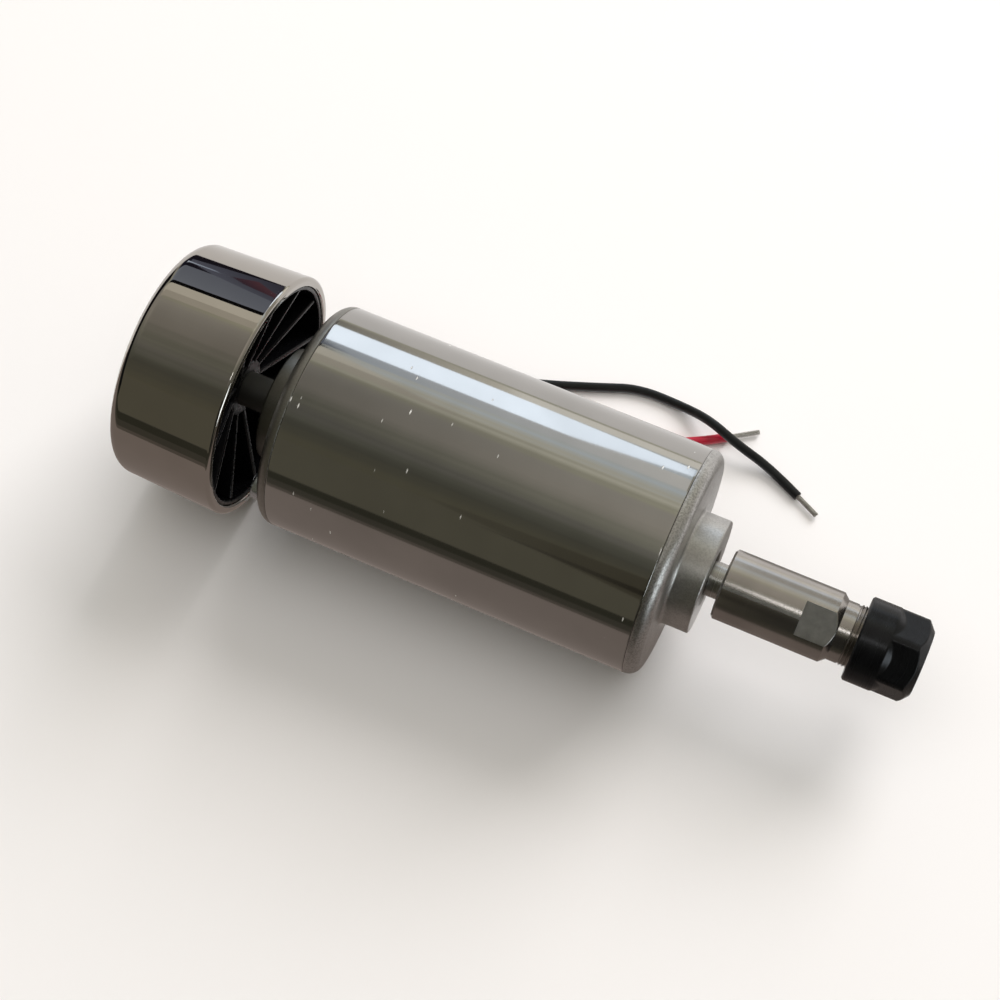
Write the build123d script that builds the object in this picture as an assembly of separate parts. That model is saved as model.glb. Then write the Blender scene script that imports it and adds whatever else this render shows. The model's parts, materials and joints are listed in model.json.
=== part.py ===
from build123d import *

import math
import os

os.makedirs("parts", exist_ok=True)

# A small air-cooled motor spindle. Sizes are in millimetres and degrees.
# The shaft axis is X and the tool end points to +X. The origin is on the axis, at the middle
# of the steel tube. An angle about the axis is counted from +Y towards +Z.

# Fits and gaps
press_gap = 0.02
running_gap = 0.05
loose_gap = 0.2

# Motor tube
tube_r = 26.0
tube_wall = 2.0
tube_length = 83.5
tube_bore_r = tube_r - tube_wall
tube_end = tube_length / 2

# End caps, counted from the seam with the tube
front_face = 3.0
front_boss_length = 6.5
rear_face = 2.5
rear_boss_length = 7.8
boss_side_wall = 2.0
boss_edge_round = 0.4
boss_foot_round = 0.8
cap_edge_land = 0.2
boss_wall = 1.25
boss_hole_gap = 2.5
cap_plate_inset = 1.0
spigot_depth = 4.0
spigot_wall = 2.4

# Ball bearings, 8 x 22 x 7
bearing_bore_r = 4.0
bearing_outer_r = 11.0
bearing_width = 7.0
ball_count = 7
ball_r = 1.985
ball_pitch_r = (bearing_bore_r + bearing_outer_r) / 2
ball_race_gap = 0.015
land_half_gap = 1.45
cage_wall = 1.0
cage_width = 5.0
shield_thickness = 0.3
shield_inset = 0.2
washer_space = 0.8
washer_thickness = 0.25
washer_bow = 0.45
washer_width = 1.6

# Through bolts
bolt_r = 1.95
bolt_bore_gap = 4.0
bolt_angles = (0.0, 180.0)
bolt_head_r = 3.5
bolt_head_height = 2.8
bolt_head_round = 1.0
bolt_thread_depth = 6.5
bolt_boss_r = 4.0
bolt_boss_length = 3.5
bolt_end_space = 0.5

# Magnets and their clips
magnet_thickness = 6.05
magnet_span = 130.0
magnet_overhang = 2.5
clip_thickness = 0.7
clip_end_inset = 4.5
clip_side_gap = 1.0
clip_flange_height = 4.0

# Armature
air_gap = 0.9
slot_count = 12
slot_depth = 8.0
slot_lip = 1.5
slot_mouth_width = 1.6
tooth_root_width = 2.5
tooth_tip_width = 2.9
insulator_thickness = 0.8
winding_gap = 0.15
winding_head_length = 6.4
winding_head_inset = 1.7
winding_head_shaft_gap = 2.0
winding_head_round = 2.6
winding_cap_gap = 2.9
winding_commutator_gap = 2.65

# Shaft
shaft_r = bearing_bore_r
shaft_shoulder = 1.0
shaft_chamfer = 0.4
shaft_rear_overhang = 1.05
shaft_chuck_depth = 13.65

# Commutator
commutator_length = 13.0
commutator_plate_gap = 0.75
commutator_hub_wall = 2.5
commutator_bar_height = 2.5
commutator_riser_height = 1.3
commutator_riser_width = 1.5
commutator_slot_angle = 2.6
commutator_hub_overhang = 0.5

# Brush gear
plate_thickness = 1.5
plate_bore_r = 12.5
brush_length_x = 7.5
brush_width = 5.0
brush_spring_space = 5.5
box_wall = 0.8
box_commutator_gap = 1.5
box_tube_gap = 1.0
box_end_wall = 0.6
spring_r = 1.7
spring_wire_r = 0.25
spring_turns = 5
terminal_thickness = 0.6
terminal_size = 4.4

# Fan
fan_gap = 12.1
fan_length = 24.65
fan_rim_r = 28.5
fan_taper = 1.0
fan_rim_wall = 2.1
fan_rear_wall = 1.6
fan_corner_round = 3.0
fan_inner_corner_round = 3.9
fan_inlet_width = 7.4
fan_lip_round = 0.9
sleeve_wall = 1.0
sleeve_rim_inset = 0.5
sleeve_rear_inset = 5.6
blade_count = 12
blade_angle = 6.0
blade_thickness = 1.3
blade_rim_inset = 1.1
blade_flat_width = 6.38
blade_rear_inset = 0.1
blade_corner_cut = 3.9
blade_centre_rear_inset = 1.6
fan_hub_wall = 2.75
fan_hub_inset = 4.6

# Collet chuck
chuck_gap = 3.1
chuck_r = 8.0
chuck_straight_length = 24.6
chuck_nose_chamfer = 1.4
chuck_rear_chamfer = 0.5
neck_depth = 0.2
neck_length = 2.3
thread_r = 7.0
thread_chamfer = 0.5
shaft_end_gap = 0.4
passage_r = 2.75
cavity_length = 1.4
taper_mouth_r = 5.5
taper_angle = 8.0
flat_half_width = 7.0
flat_start = 17.9
flat_angle = 118.5

# Spring collet
collet_length = 18.0
collet_bore_r = 1.5875
collet_nose_face_r = 4.1
collet_nose_r = 5.2
collet_nose_cone = 1.9
collet_groove_depth = 0.5
collet_groove_start = 2.3
collet_groove_end = 3.5
collet_slot_width = 0.5
collet_slot_pairs = 4
collet_front_slot_end = 15.0
collet_rear_slot_end = 4.5
collet_face_inset = 0.65

# Collet nut
nut_r = 9.5
nut_length = 14.5
nut_rear_gap = 2.1
nut_across_flats = 17.0
nut_flat_angle = 6.0
nut_flat_rear = 5.95
nut_flat_runout = 2.6
nut_chamfer_length = 1.9
nut_chamfer_height = 2.2
nut_rear_chamfer = 0.4
nut_thread_clearance = 0.6
nut_relief_length = 1.45
nut_lip_gap = 0.3
nut_lip_width = 0.7

# Leads
lead_r = 1.1
lead_end_r = 0.65
lead_bore_gap = 5.0
black_lead_angle = -38.0
grommet_r = 2.6
grommet_flange_r = 3.0
grommet_flange = 0.8
grommet_side_gap = 0.05
lead_rest_gap = 0.05
bare_ends = {"black": 6.3, "red": 8.0}
crossing_lift = 3.5

# Radii that follow from the sizes above
front_edge_round = front_face - cap_edge_land
rear_edge_round = rear_face - cap_edge_land
boss_r = bearing_outer_r + boss_side_wall
boss_hole_r = shaft_r + boss_hole_gap
inner_land_r = ball_pitch_r - land_half_gap
outer_land_r = ball_pitch_r + land_half_gap
bolt_pitch_r = tube_bore_r - bolt_bore_gap
lead_pitch_r = tube_bore_r - lead_bore_gap
lead_spread_angle = 2 * math.degrees(math.asin((grommet_flange_r + grommet_side_gap / 2) / lead_pitch_r))
lead_angles = {"black": black_lead_angle, "red": black_lead_angle - lead_spread_angle}
magnet_outer_r = tube_bore_r - running_gap
magnet_inner_r = magnet_outer_r - magnet_thickness
core_r = magnet_inner_r - air_gap
slot_bottom_r = core_r - slot_depth
slot_top_r = core_r - slot_lip
slot_bottom_width = 2 * math.pi * slot_bottom_r / slot_count - tooth_root_width
slot_top_width = 2 * math.pi * slot_top_r / slot_count - tooth_tip_width
shaft_middle_r = shaft_r + shaft_shoulder
winding_head_r = core_r - winding_head_inset
winding_head_bore_r = shaft_middle_r + winding_head_shaft_gap
commutator_hub_r = shaft_middle_r + commutator_hub_wall
commutator_r = commutator_hub_r + commutator_bar_height
commutator_riser_r = commutator_r + commutator_riser_height
box_inner_z = commutator_r + box_commutator_gap
box_outer_z = tube_bore_r - box_tube_gap
brush_outer_z = box_outer_z - brush_spring_space
fan_bore_r = fan_rim_r - fan_rim_wall
fan_rear_r = fan_rim_r - fan_taper
fan_inlet_r = fan_bore_r - fan_inlet_width
fan_hub_r = shaft_r + fan_hub_wall
neck_r = thread_r - neck_depth
collet_groove_r = collet_nose_r - collet_groove_depth

# Places along the axis
front_cap_face = tube_end + front_face
front_boss_end = front_cap_face + front_boss_length
rear_cap_face = -tube_end - rear_face
rear_boss_end = rear_cap_face - rear_boss_length
front_bearing_end = front_boss_end - boss_wall
front_bearing_start = front_bearing_end - bearing_width
rear_bearing_start = rear_boss_end + boss_wall + washer_space
rear_bearing_end = rear_bearing_start + bearing_width
plate_rear = -tube_end + spigot_depth
plate_front = plate_rear + plate_thickness
commutator_rear = plate_rear + commutator_plate_gap
commutator_front = commutator_rear + commutator_length
core_end_space = insulator_thickness + winding_gap + winding_head_length
winding_rear = commutator_front + commutator_hub_overhang + winding_commutator_gap
winding_front = tube_end - cap_plate_inset - winding_cap_gap
core_rear = winding_rear + core_end_space
core_front = winding_front - core_end_space
core_length = core_front - core_rear
magnet_rear = core_rear - magnet_overhang
magnet_front = core_front + magnet_overhang
box_length = brush_length_x + 2 * running_gap + 2 * box_wall
brush_x = plate_front + box_length / 2
fan_rim = rear_cap_face - fan_gap
fan_rear = fan_rim - fan_length
fan_hub_front = fan_rim - fan_hub_inset
fan_hub_rear = fan_rear + fan_rear_wall + blade_centre_rear_inset
shaft_rear = fan_hub_rear - shaft_rear_overhang
chuck_rear = front_boss_end + chuck_gap
shaft_front = chuck_rear + shaft_chuck_depth
chuck_nose = chuck_rear + chuck_straight_length + chuck_nose_chamfer
thread_start = chuck_nose + neck_length
nut_rear = thread_start + nut_rear_gap
nut_front = nut_rear + nut_length
collet_face = nut_front - collet_face_inset
collet_groove_rear = collet_face - collet_groove_end
collet_groove_front = collet_face - collet_groove_start
nut_lip_rear = (collet_groove_rear + collet_groove_front - nut_lip_width) / 2
nut_thread_end = nut_lip_rear - nut_relief_length
chuck_front = nut_thread_end - nut_thread_clearance
tan_taper = math.tan(math.radians(taper_angle))
collet_big_r = taper_mouth_r - press_gap + tan_taper * (collet_groove_rear - chuck_front)


def turned(points, rounds=()):
    """Solid of revolution about X from (x, radius) corners; rounds holds (corner, radius)."""
    face = Polygon(*points, align=None)
    for corner, radius in rounds:
        face = fillet(face.vertices().sort_by_distance((*corner, 0))[0], radius)
    return revolve(face, Axis.X)


def ring(inner_r, outer_r, start, end):
    return turned([(start, inner_r), (end, inner_r), (end, outer_r), (start, outer_r)])


def rod(radius, start, end, pitch_r=0.0, angle=0.0):
    """Round bar along X, at pitch_r from the axis."""
    bar = Pos(start, pitch_r, 0) * Rot(Y=90) * Cylinder(
        radius, end - start, align=(Align.CENTER, Align.CENTER, Align.MIN)
    )
    return Rot(X=angle) * bar


def sector(inner_r, outer_r, start, end, span, middle):
    """Part of a ring that spans an angle about the axis."""
    face = Polygon((start, inner_r), (end, inner_r), (end, outer_r), (start, outer_r), align=None)
    return Rot(X=middle - span / 2) * revolve(face, Axis.X, revolution_arc=span)


def around(shape, count, first=0.0):
    return [Rot(X=first + 360 / count * i) * shape for i in range(count)]


def save(name, shape):
    solids = shape if isinstance(shape, list) else [shape]
    solids = [solid for piece in solids for solid in piece.solids()]
    whole = solids[0] if len(solids) == 1 else Compound(children=solids)
    whole.label = name
    export_step(whole, f"parts/{name}.step")


# Motor tube
save("motor_tube", ring(tube_bore_r, tube_r, -tube_end, tube_end))


def end_cap(face, edge_round, boss_length, pocket_end):
    """Cast cap for the +X end, with its seam at X = 0."""
    spigot_r = tube_bore_r - running_gap
    boss_end = face + boss_length
    pocket_r = bearing_outer_r + press_gap
    corners = [
        (pocket_end, boss_hole_r),
        (boss_end, boss_hole_r),
        (boss_end, boss_r),
        (face, boss_r),
        (face, tube_r),
        (0, tube_r),
        (0, spigot_r),
        (-spigot_depth, spigot_r),
        (-spigot_depth, spigot_r - spigot_wall),
        (-cap_plate_inset, spigot_r - spigot_wall),
        (-cap_plate_inset, pocket_r),
        (pocket_end, pocket_r),
    ]
    rounds = [
        ((face, tube_r), edge_round),
        ((boss_end, boss_r), boss_edge_round),
        ((face, boss_r), boss_foot_round),
    ]
    return turned(corners, rounds)


def front_end_cap():
    cap = end_cap(front_face, front_edge_round, front_boss_length, front_bearing_end - tube_end)
    boss_start = -cap_plate_inset - bolt_boss_length
    inside_tube = rod(tube_bore_r - running_gap, boss_start, 0)
    for angle in bolt_angles:
        cap += rod(bolt_boss_r, boss_start, 0, bolt_pitch_r, angle) & inside_tube
        cap -= rod(bolt_r + running_gap, boss_start, boss_start + bolt_thread_depth, bolt_pitch_r, angle)
    return Pos(tube_end, 0, 0) * cap


def rear_end_cap():
    pocket_end = -tube_end - rear_boss_end - boss_wall
    cap = mirror(end_cap(rear_face, rear_edge_round, rear_boss_length, pocket_end), about=Plane.YZ)
    for angle in bolt_angles:
        cap -= rod(bolt_r + loose_gap, -rear_face, spigot_depth, bolt_pitch_r, angle)
    for angle in lead_angles.values():
        cap -= rod(grommet_r, -rear_face, cap_plate_inset, lead_pitch_r, angle)
    return Pos(-tube_end, 0, 0) * cap


def through_bolt(angle):
    head_top = rear_cap_face - bolt_head_height
    thread_end = tube_end - cap_plate_inset - bolt_boss_length + bolt_thread_depth - bolt_end_space
    corners = [
        (head_top, 0),
        (head_top, bolt_head_r),
        (rear_cap_face, bolt_head_r),
        (rear_cap_face, bolt_r),
        (thread_end, bolt_r),
        (thread_end, 0),
    ]
    bolt = turned(corners, [((head_top, bolt_head_r), bolt_head_round)])
    return Rot(X=angle) * Pos(0, bolt_pitch_r, 0) * bolt


save("front_end_cap", front_end_cap())
save("rear_end_cap", rear_end_cap())
save("through_bolts", [through_bolt(angle) for angle in bolt_angles])


# Magnets and clips
def magnet(middle):
    return sector(magnet_inner_r, magnet_outer_r, magnet_rear, magnet_front, magnet_span, middle)


def magnet_clip(middle):
    """Bent spring plate that fills the gap between the magnets."""
    start = magnet_rear + clip_end_inset
    end = magnet_front - clip_end_inset
    flange_r = magnet_outer_r - clip_flange_height
    thickness_angle = math.degrees(clip_thickness / flange_r)
    span = 180 - magnet_span - 2 * clip_side_gap
    clip = sector(magnet_outer_r - clip_thickness, magnet_outer_r, start, end, span, middle)
    for side in (-1, 1):
        edge = middle + side * (span - thickness_angle) / 2
        clip += sector(flange_r, magnet_outer_r, start, end, thickness_angle, edge)
    return clip


save("magnet_upper", magnet(90))
save("magnet_lower", magnet(270))
save("magnet_clips", [magnet_clip(angle) for angle in bolt_angles])


# Bearings
def save_bearing(name, start):
    """One shielded ball bearing, as the pieces it is assembled from."""
    end = start + bearing_width
    middle = start + bearing_width / 2
    cage_start = middle - cage_width / 2
    to_middle = Pos(middle, 0, 0) * Rot(Y=90)
    groove = to_middle * Torus(ball_pitch_r, ball_r + ball_race_gap)
    ball = Pos(middle, ball_pitch_r, 0) * Sphere(ball_r)
    pocket = Pos(middle, ball_pitch_r, 0) * Sphere(ball_r + running_gap)
    cage_r = (ball_pitch_r - cage_wall / 2, ball_pitch_r + cage_wall / 2)
    cage = ring(*cage_r, cage_start, cage_start + cage_width)
    for hole in around(pocket, ball_count):
        cage -= hole
    shield_r = (inner_land_r + loose_gap, outer_land_r - press_gap)
    shields = [
        ring(*shield_r, start + shield_inset, start + shield_inset + shield_thickness),
        ring(*shield_r, end - shield_inset - shield_thickness, end - shield_inset),
    ]
    save(f"{name}_bearing_inner_ring", ring(bearing_bore_r + press_gap, inner_land_r, start, end) - groove)
    save(f"{name}_bearing_outer_ring", ring(outer_land_r, bearing_outer_r, start, end) - groove)
    save(f"{name}_bearing_balls", around(ball, ball_count))
    save(f"{name}_bearing_cage", cage)
    save(f"{name}_bearing_shields", shields)


def preload_washer():
    """Ring cut from a bowed strip, so that it springs along the axis."""
    outer_r = bearing_outer_r - loose_gap
    low = rear_boss_end + boss_wall + running_gap / 2
    top = low + washer_bow
    front = ThreePointArc((low, -outer_r), (top, 0), (low, outer_r))
    back = ThreePointArc(
        (low + washer_thickness, -outer_r),
        (top + washer_thickness, 0),
        (low + washer_thickness, outer_r),
    )
    ends = [
        Line((low, side * outer_r), (low + washer_thickness, side * outer_r)) for side in (-1, 1)
    ]
    strip = extrude(make_face([front, back, *ends]), outer_r, both=True)
    return strip & ring(outer_r - washer_width, outer_r, rear_boss_end, rear_bearing_start)


save_bearing("front", front_bearing_start)
save_bearing("rear", rear_bearing_start)
save("preload_washer", preload_washer())


# Shaft, armature and commutator
def rotor_shaft():
    corners = [
        (shaft_rear, 0),
        (shaft_rear, shaft_r - shaft_chamfer),
        (shaft_rear + shaft_chamfer, shaft_r),
        (rear_bearing_end, shaft_r),
        (rear_bearing_end, shaft_middle_r),
        (front_bearing_start, shaft_middle_r),
        (front_bearing_start, shaft_r),
        (shaft_front - shaft_chamfer, shaft_r),
        (shaft_front, shaft_r - shaft_chamfer),
        (shaft_front, 0),
    ]
    return turned(corners)


def slot_outline(gap, mouth):
    """Slot section in the YZ plane, pointing along +Y."""
    low_width = slot_bottom_width / 2 - gap
    top_width = slot_top_width / 2 - gap
    low_r = slot_bottom_r + gap
    top_r = slot_top_r - gap
    outline = Polygon(
        (low_r, -low_width), (top_r, -top_width), (top_r, top_width), (low_r, low_width), align=None
    )
    if mouth:
        reach = core_r + running_gap
        half = slot_mouth_width / 2
        outline += Polygon((top_r, -half), (reach, -half), (reach, half), (top_r, half), align=None)
    return Plane.YZ * outline


def slotted_disc(start, thickness):
    disc = ring(shaft_middle_r + press_gap, core_r, 0, thickness)
    slot = extrude(slot_outline(0, True), thickness)
    for cut in around(slot, slot_count):
        disc -= cut
    return Pos(start, 0, 0) * disc


def winding_head(start):
    end = start + winding_head_length
    corners = [
        (start, winding_head_bore_r),
        (end, winding_head_bore_r),
        (end, winding_head_r),
        (start, winding_head_r),
    ]
    return turned(corners, [(corner, winding_head_round) for corner in corners])


def armature_winding():
    """Two wound heads joined by the wire bundles that lie in the slots."""
    winding = winding_head(winding_rear) + winding_head(winding_front - winding_head_length)
    length = winding_front - winding_rear - winding_head_length
    middle_of_head = Pos(winding_rear + winding_head_length / 2, 0, 0)
    bundle = middle_of_head * extrude(slot_outline(winding_gap, False), length)
    for bar in around(bundle, slot_count):
        winding += bar
    return winding


def commutator_bar():
    inner_r = commutator_hub_r + press_gap
    face = Polygon(
        (commutator_rear, inner_r),
        (commutator_front, inner_r),
        (commutator_front, commutator_riser_r),
        (commutator_front - commutator_riser_width, commutator_riser_r),
        (commutator_front - commutator_riser_width, commutator_r),
        (commutator_rear, commutator_r),
        align=None,
    )
    return revolve(face, Axis.X, revolution_arc=360 / slot_count - commutator_slot_angle)


save("rotor_shaft", rotor_shaft())
save("armature_core", slotted_disc(core_rear, core_length))
save(
    "slot_insulators",
    [
        slotted_disc(core_rear - insulator_thickness, insulator_thickness),
        slotted_disc(core_front, insulator_thickness),
    ],
)
save("armature_winding", armature_winding())
save("commutator_bars", around(commutator_bar(), slot_count))
save(
    "commutator_hub",
    ring(
        shaft_middle_r + press_gap,
        commutator_hub_r,
        commutator_rear - commutator_hub_overhang,
        commutator_front + commutator_hub_overhang,
    ),
)


# Brush gear
def brush_plate():
    plate = ring(plate_bore_r, tube_bore_r - running_gap, plate_rear, plate_front)
    for angle in bolt_angles:
        plate -= rod(bolt_r + loose_gap, plate_rear, plate_front, bolt_pitch_r, angle)
    return plate


def brush_box():
    """Guide with an open inner end and a closed outer end, along +Z."""
    height = box_outer_z - box_inner_z
    base = (Align.CENTER, Align.CENTER, Align.MIN)
    box = Box(box_length, brush_width + 2 * running_gap + 2 * box_wall, height, align=base)
    box -= Box(
        brush_length_x + 2 * running_gap, brush_width + 2 * running_gap, height - box_end_wall, align=base
    )
    return Pos(brush_x, 0, box_inner_z) * box


def brush():
    """Carbon block whose inner end is worn to the commutator's radius."""
    base = (Align.CENTER, Align.CENTER, Align.MIN)
    low = commutator_r - brush_width / 4
    block = Pos(brush_x, 0, low) * Box(brush_length_x, brush_width, brush_outer_z - low, align=base)
    reach = brush_length_x
    return block - rod(commutator_r + running_gap, brush_x - reach, brush_x + reach)


def brush_spring():
    low = brush_outer_z + spring_wire_r + running_gap
    height = box_outer_z - box_end_wall - spring_wire_r - running_gap - low
    path = Helix(height / spring_turns, height, spring_r)
    section = Plane(path @ 0, z_dir=path % 0) * Circle(spring_wire_r)
    return Pos(brush_x, 0, low) * sweep(section, path=path, is_frenet=True)


def lead_terminal(angle):
    middle = Pos(plate_rear - terminal_thickness / 2, lead_pitch_r, 0)
    return Rot(X=angle) * middle * Box(terminal_thickness, terminal_size, terminal_size)


def lead_grommet(angle):
    """Rubber ring in the rear cap, with a flange outside."""
    inner = -tube_end + cap_plate_inset
    outer = rear_cap_face - grommet_flange
    bore_r = lead_r + running_gap
    corners = [
        (inner, bore_r),
        (inner, grommet_r - press_gap),
        (rear_cap_face, grommet_r - press_gap),
        (rear_cap_face, grommet_flange_r),
        (outer, grommet_flange_r),
        (outer, bore_r),
    ]
    return Rot(X=angle) * Pos(0, lead_pitch_r, 0) * turned(corners)


save("brush_plate", brush_plate())
save("brush_boxes", [Rot(X=turn) * brush_box() for turn in (0, 180)])
for place, turn in {"upper": 0, "lower": 180}.items():
    save(f"{place}_brush", Rot(X=turn) * brush())
    save(f"{place}_brush_spring", Rot(X=turn) * brush_spring())
save("lead_terminals", [lead_terminal(angle) for angle in lead_angles.values()])
save("lead_grommets", [lead_grommet(angle) for angle in lead_angles.values()])


# Fan
def fan_shell():
    """Plated cup with a rounded rear corner and an open inlet."""
    inside = fan_rear + fan_rear_wall
    corners = [
        (fan_rear, fan_inlet_r),
        (inside, fan_inlet_r),
        (inside, fan_bore_r),
        (fan_rim, fan_bore_r),
        (fan_rim, fan_rim_r),
        (fan_rear, fan_rear_r),
    ]
    rounds = [
        ((inside, fan_bore_r), fan_inner_corner_round),
        ((fan_rim, fan_bore_r), fan_lip_round / 2),
        ((fan_rim, fan_rim_r), fan_lip_round),
        ((fan_rear, fan_rear_r), fan_corner_round),
    ]
    return turned(corners, rounds)


def fan_blade():
    """Flat radial blade along +Y, cut back towards the hub at its front edge."""
    rear = fan_rear + fan_rear_wall + blade_rear_inset
    tip_r = fan_bore_r - sleeve_wall - press_gap
    root_r = (shaft_r + fan_hub_r) / 2
    outline = Polygon(
        (fan_hub_front, root_r),
        (fan_hub_front, fan_hub_r),
        (fan_rim - blade_rim_inset, tip_r - blade_flat_width),
        (fan_rim - blade_rim_inset, tip_r),
        (rear + blade_corner_cut, tip_r),
        (rear, tip_r - blade_corner_cut),
        (rear, fan_inlet_r),
        (fan_hub_rear, fan_inlet_r - blade_centre_rear_inset),
        (fan_hub_rear, root_r),
        align=None,
    )
    return extrude(outline, blade_thickness / 2, both=True)


def fan_impeller():
    corners = [
        (fan_hub_rear, shaft_r + press_gap),
        (fan_hub_front, shaft_r + press_gap),
        (fan_hub_front, fan_hub_r),
        (fan_hub_rear, fan_hub_r),
    ]
    impeller = turned(corners)
    for blade in around(fan_blade(), blade_count, blade_angle):
        impeller += blade
    return impeller - rod(shaft_r + press_gap, fan_hub_rear, fan_hub_front)


save("fan_shell", fan_shell())
save(
    "fan_sleeve",
    ring(
        fan_bore_r - sleeve_wall,
        fan_bore_r - press_gap,
        fan_rear + sleeve_rear_inset,
        fan_rim - sleeve_rim_inset,
    ),
)
save("fan_impeller", fan_impeller())


# Collet chuck
def chuck_body():
    straight_end = chuck_rear + chuck_straight_length
    bore_end = shaft_front + shaft_end_gap
    cavity_front = collet_face - collet_length - loose_gap
    cavity_rear = cavity_front - cavity_length
    cavity_r = taper_mouth_r - tan_taper * (chuck_front - cavity_front)
    corners = [
        (chuck_rear, shaft_r + press_gap),
        (chuck_rear, chuck_r - chuck_rear_chamfer),
        (chuck_rear + chuck_rear_chamfer, chuck_r),
        (straight_end, chuck_r),
        (chuck_nose, neck_r),
        (thread_start, neck_r),
        (thread_start, thread_r),
        (chuck_front - thread_chamfer, thread_r),
        (chuck_front, thread_r - thread_chamfer),
        (chuck_front, taper_mouth_r),
        (cavity_front, cavity_r),
        (cavity_rear, cavity_r),
        (cavity_rear, passage_r),
        (bore_end, passage_r),
        (bore_end, shaft_r + press_gap),
    ]
    body = turned(corners)
    flat_length = chuck_nose - chuck_rear - flat_start
    cutter = Box(flat_length, chuck_r, 2 * chuck_r, align=(Align.MIN, Align.MIN, Align.CENTER))
    cutter = Pos(chuck_rear + flat_start, flat_half_width, 0) * cutter
    for side in (0, 180):
        body -= Rot(X=flat_angle + side) * cutter
    return body


def spring_collet():
    """Taper collet with slots cut in turn from its front and its rear."""
    rear = collet_face - collet_length
    rear_r = collet_big_r - tan_taper * (collet_groove_rear - rear)
    corners = [
        (rear, 0),
        (rear, rear_r),
        (collet_groove_rear, collet_big_r),
        (collet_groove_rear, collet_groove_r),
        (collet_groove_front, collet_groove_r),
        (collet_groove_front, collet_nose_r),
        (collet_face - collet_nose_cone, collet_nose_r),
        (collet_face, collet_nose_face_r),
        (collet_face, 0),
    ]
    body = turned(corners) - rod(collet_bore_r, rear, collet_face)
    front_slot = Box(
        collet_front_slot_end, collet_big_r + loose_gap, collet_slot_width, align=(Align.MAX, Align.MIN, Align.CENTER)
    )
    rear_slot = Box(
        collet_length - collet_rear_slot_end,
        collet_big_r + loose_gap,
        collet_slot_width,
        align=(Align.MIN, Align.MIN, Align.CENTER),
    )
    for slot in around(Pos(collet_face, 0, 0) * front_slot, collet_slot_pairs):
        body -= slot
    for slot in around(Pos(rear, 0, 0) * rear_slot, collet_slot_pairs, 180 / collet_slot_pairs):
        body -= slot
    return body


def nut_outside():
    """Round collar at the rear, hexagon at the front, joined by a cone that runs out on the flats."""
    corners = [
        (nut_rear, 0),
        (nut_rear, nut_r - nut_rear_chamfer),
        (nut_rear + nut_rear_chamfer, nut_r),
        (nut_front - nut_chamfer_length, nut_r),
        (nut_front, nut_r - nut_chamfer_height),
        (nut_front, 0),
    ]
    flat_r = nut_across_flats / 2
    collar_end = nut_rear + nut_flat_rear
    runout_end = collar_end + nut_flat_runout
    hexagon = RegularPolygon(flat_r, 6, major_radius=False, rotation=30)
    prism = Pos(nut_rear, 0, 0) * extrude(Plane.YZ * hexagon, nut_length)
    collar = turned(
        [
            (nut_rear, 0),
            (nut_rear, nut_r + press_gap),
            (collar_end, nut_r + press_gap),
            (runout_end, flat_r),
            (runout_end, 0),
        ]
    )
    return turned(corners) & (Rot(X=nut_flat_angle) * prism + collar)


def collet_nut():
    bore_r = thread_r + running_gap
    lip_front = nut_lip_rear + nut_lip_width
    lip_r = collet_groove_r + nut_lip_gap
    seat_r = collet_nose_r + running_gap
    cone_start = collet_face - collet_nose_cone + running_gap
    cone_slope = (collet_nose_r - collet_nose_face_r) / collet_nose_cone
    inside = [
        (nut_rear, 0),
        (nut_rear, bore_r + nut_rear_chamfer),
        (nut_rear + nut_rear_chamfer, bore_r),
        (nut_thread_end, bore_r),
        (nut_thread_end, collet_big_r + loose_gap),
        (nut_lip_rear, collet_big_r + loose_gap),
        (nut_lip_rear, lip_r),
        (lip_front, lip_r),
        (lip_front, seat_r),
        (cone_start, seat_r),
        (nut_front, seat_r - cone_slope * (nut_front - cone_start)),
        (nut_front, 0),
    ]
    return nut_outside() - turned(inside)


save("chuck_body", chuck_body())
save("collet", spring_collet())
save("collet_nut", collet_nut())


# Leads. They lie on the plane that touches the fan rim and the front end of the tube.
def table_z(x):
    slope = (fan_rim_r - tube_r) / (tube_end - fan_rim)
    return -tube_r + (x - tube_end) * slope


def on_table(x, y, lift=0.0):
    return (x, y, table_z(x) + lead_r + lead_rest_gap + lift)


def lead_exit(colour):
    angle = math.radians(lead_angles[colour])
    return lead_pitch_r * math.cos(angle), lead_pitch_r * math.sin(angle)


lead_start = plate_rear - terminal_thickness
black_route = [
    (lead_start, *lead_exit("black")),
    (-50.0, *lead_exit("black")),
    (-50.6, 21.0, -15.8),
    (-47.5, 29.5, -20.5),
    (-38.0, 36.5, -25.2),
    on_table(-22.0, 36.5),
    on_table(-7.0, 40.8),
    on_table(5.0, 47.0),
    on_table(16.0, 51.3),
    on_table(27.5, 51.0),
    on_table(35.3, 48.6, crossing_lift),
    on_table(43.4, 44.9, crossing_lift),
    on_table(52.5, 42.6),
    on_table(60.5, 39.3),
]
red_route = [
    (lead_start, *lead_exit("red")),
    (-48.6, *lead_exit("red")),
    (-49.4, 16.4, -20.4),
    (-46.5, 24.0, -25.0),
    on_table(-37.0, 31.0),
    on_table(-21.0, 33.5),
    on_table(-2.0, 35.2),
    on_table(16.0, 36.2),
    on_table(29.0, 39.6),
    on_table(39.5, 46.7),
]


def route_radii(route):
    """Largest even radius at each corner of a route."""
    points = [Vector(*point) for point in route]
    radii = []
    for before, corner, after in zip(points, points[1:], points[2:]):
        turn = math.radians((corner - before).get_angle(after - corner))
        shorter = min((corner - before).length, (after - corner).length)
        radii.append(0.45 * shorter / math.tan(turn / 2))
    return radii


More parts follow.
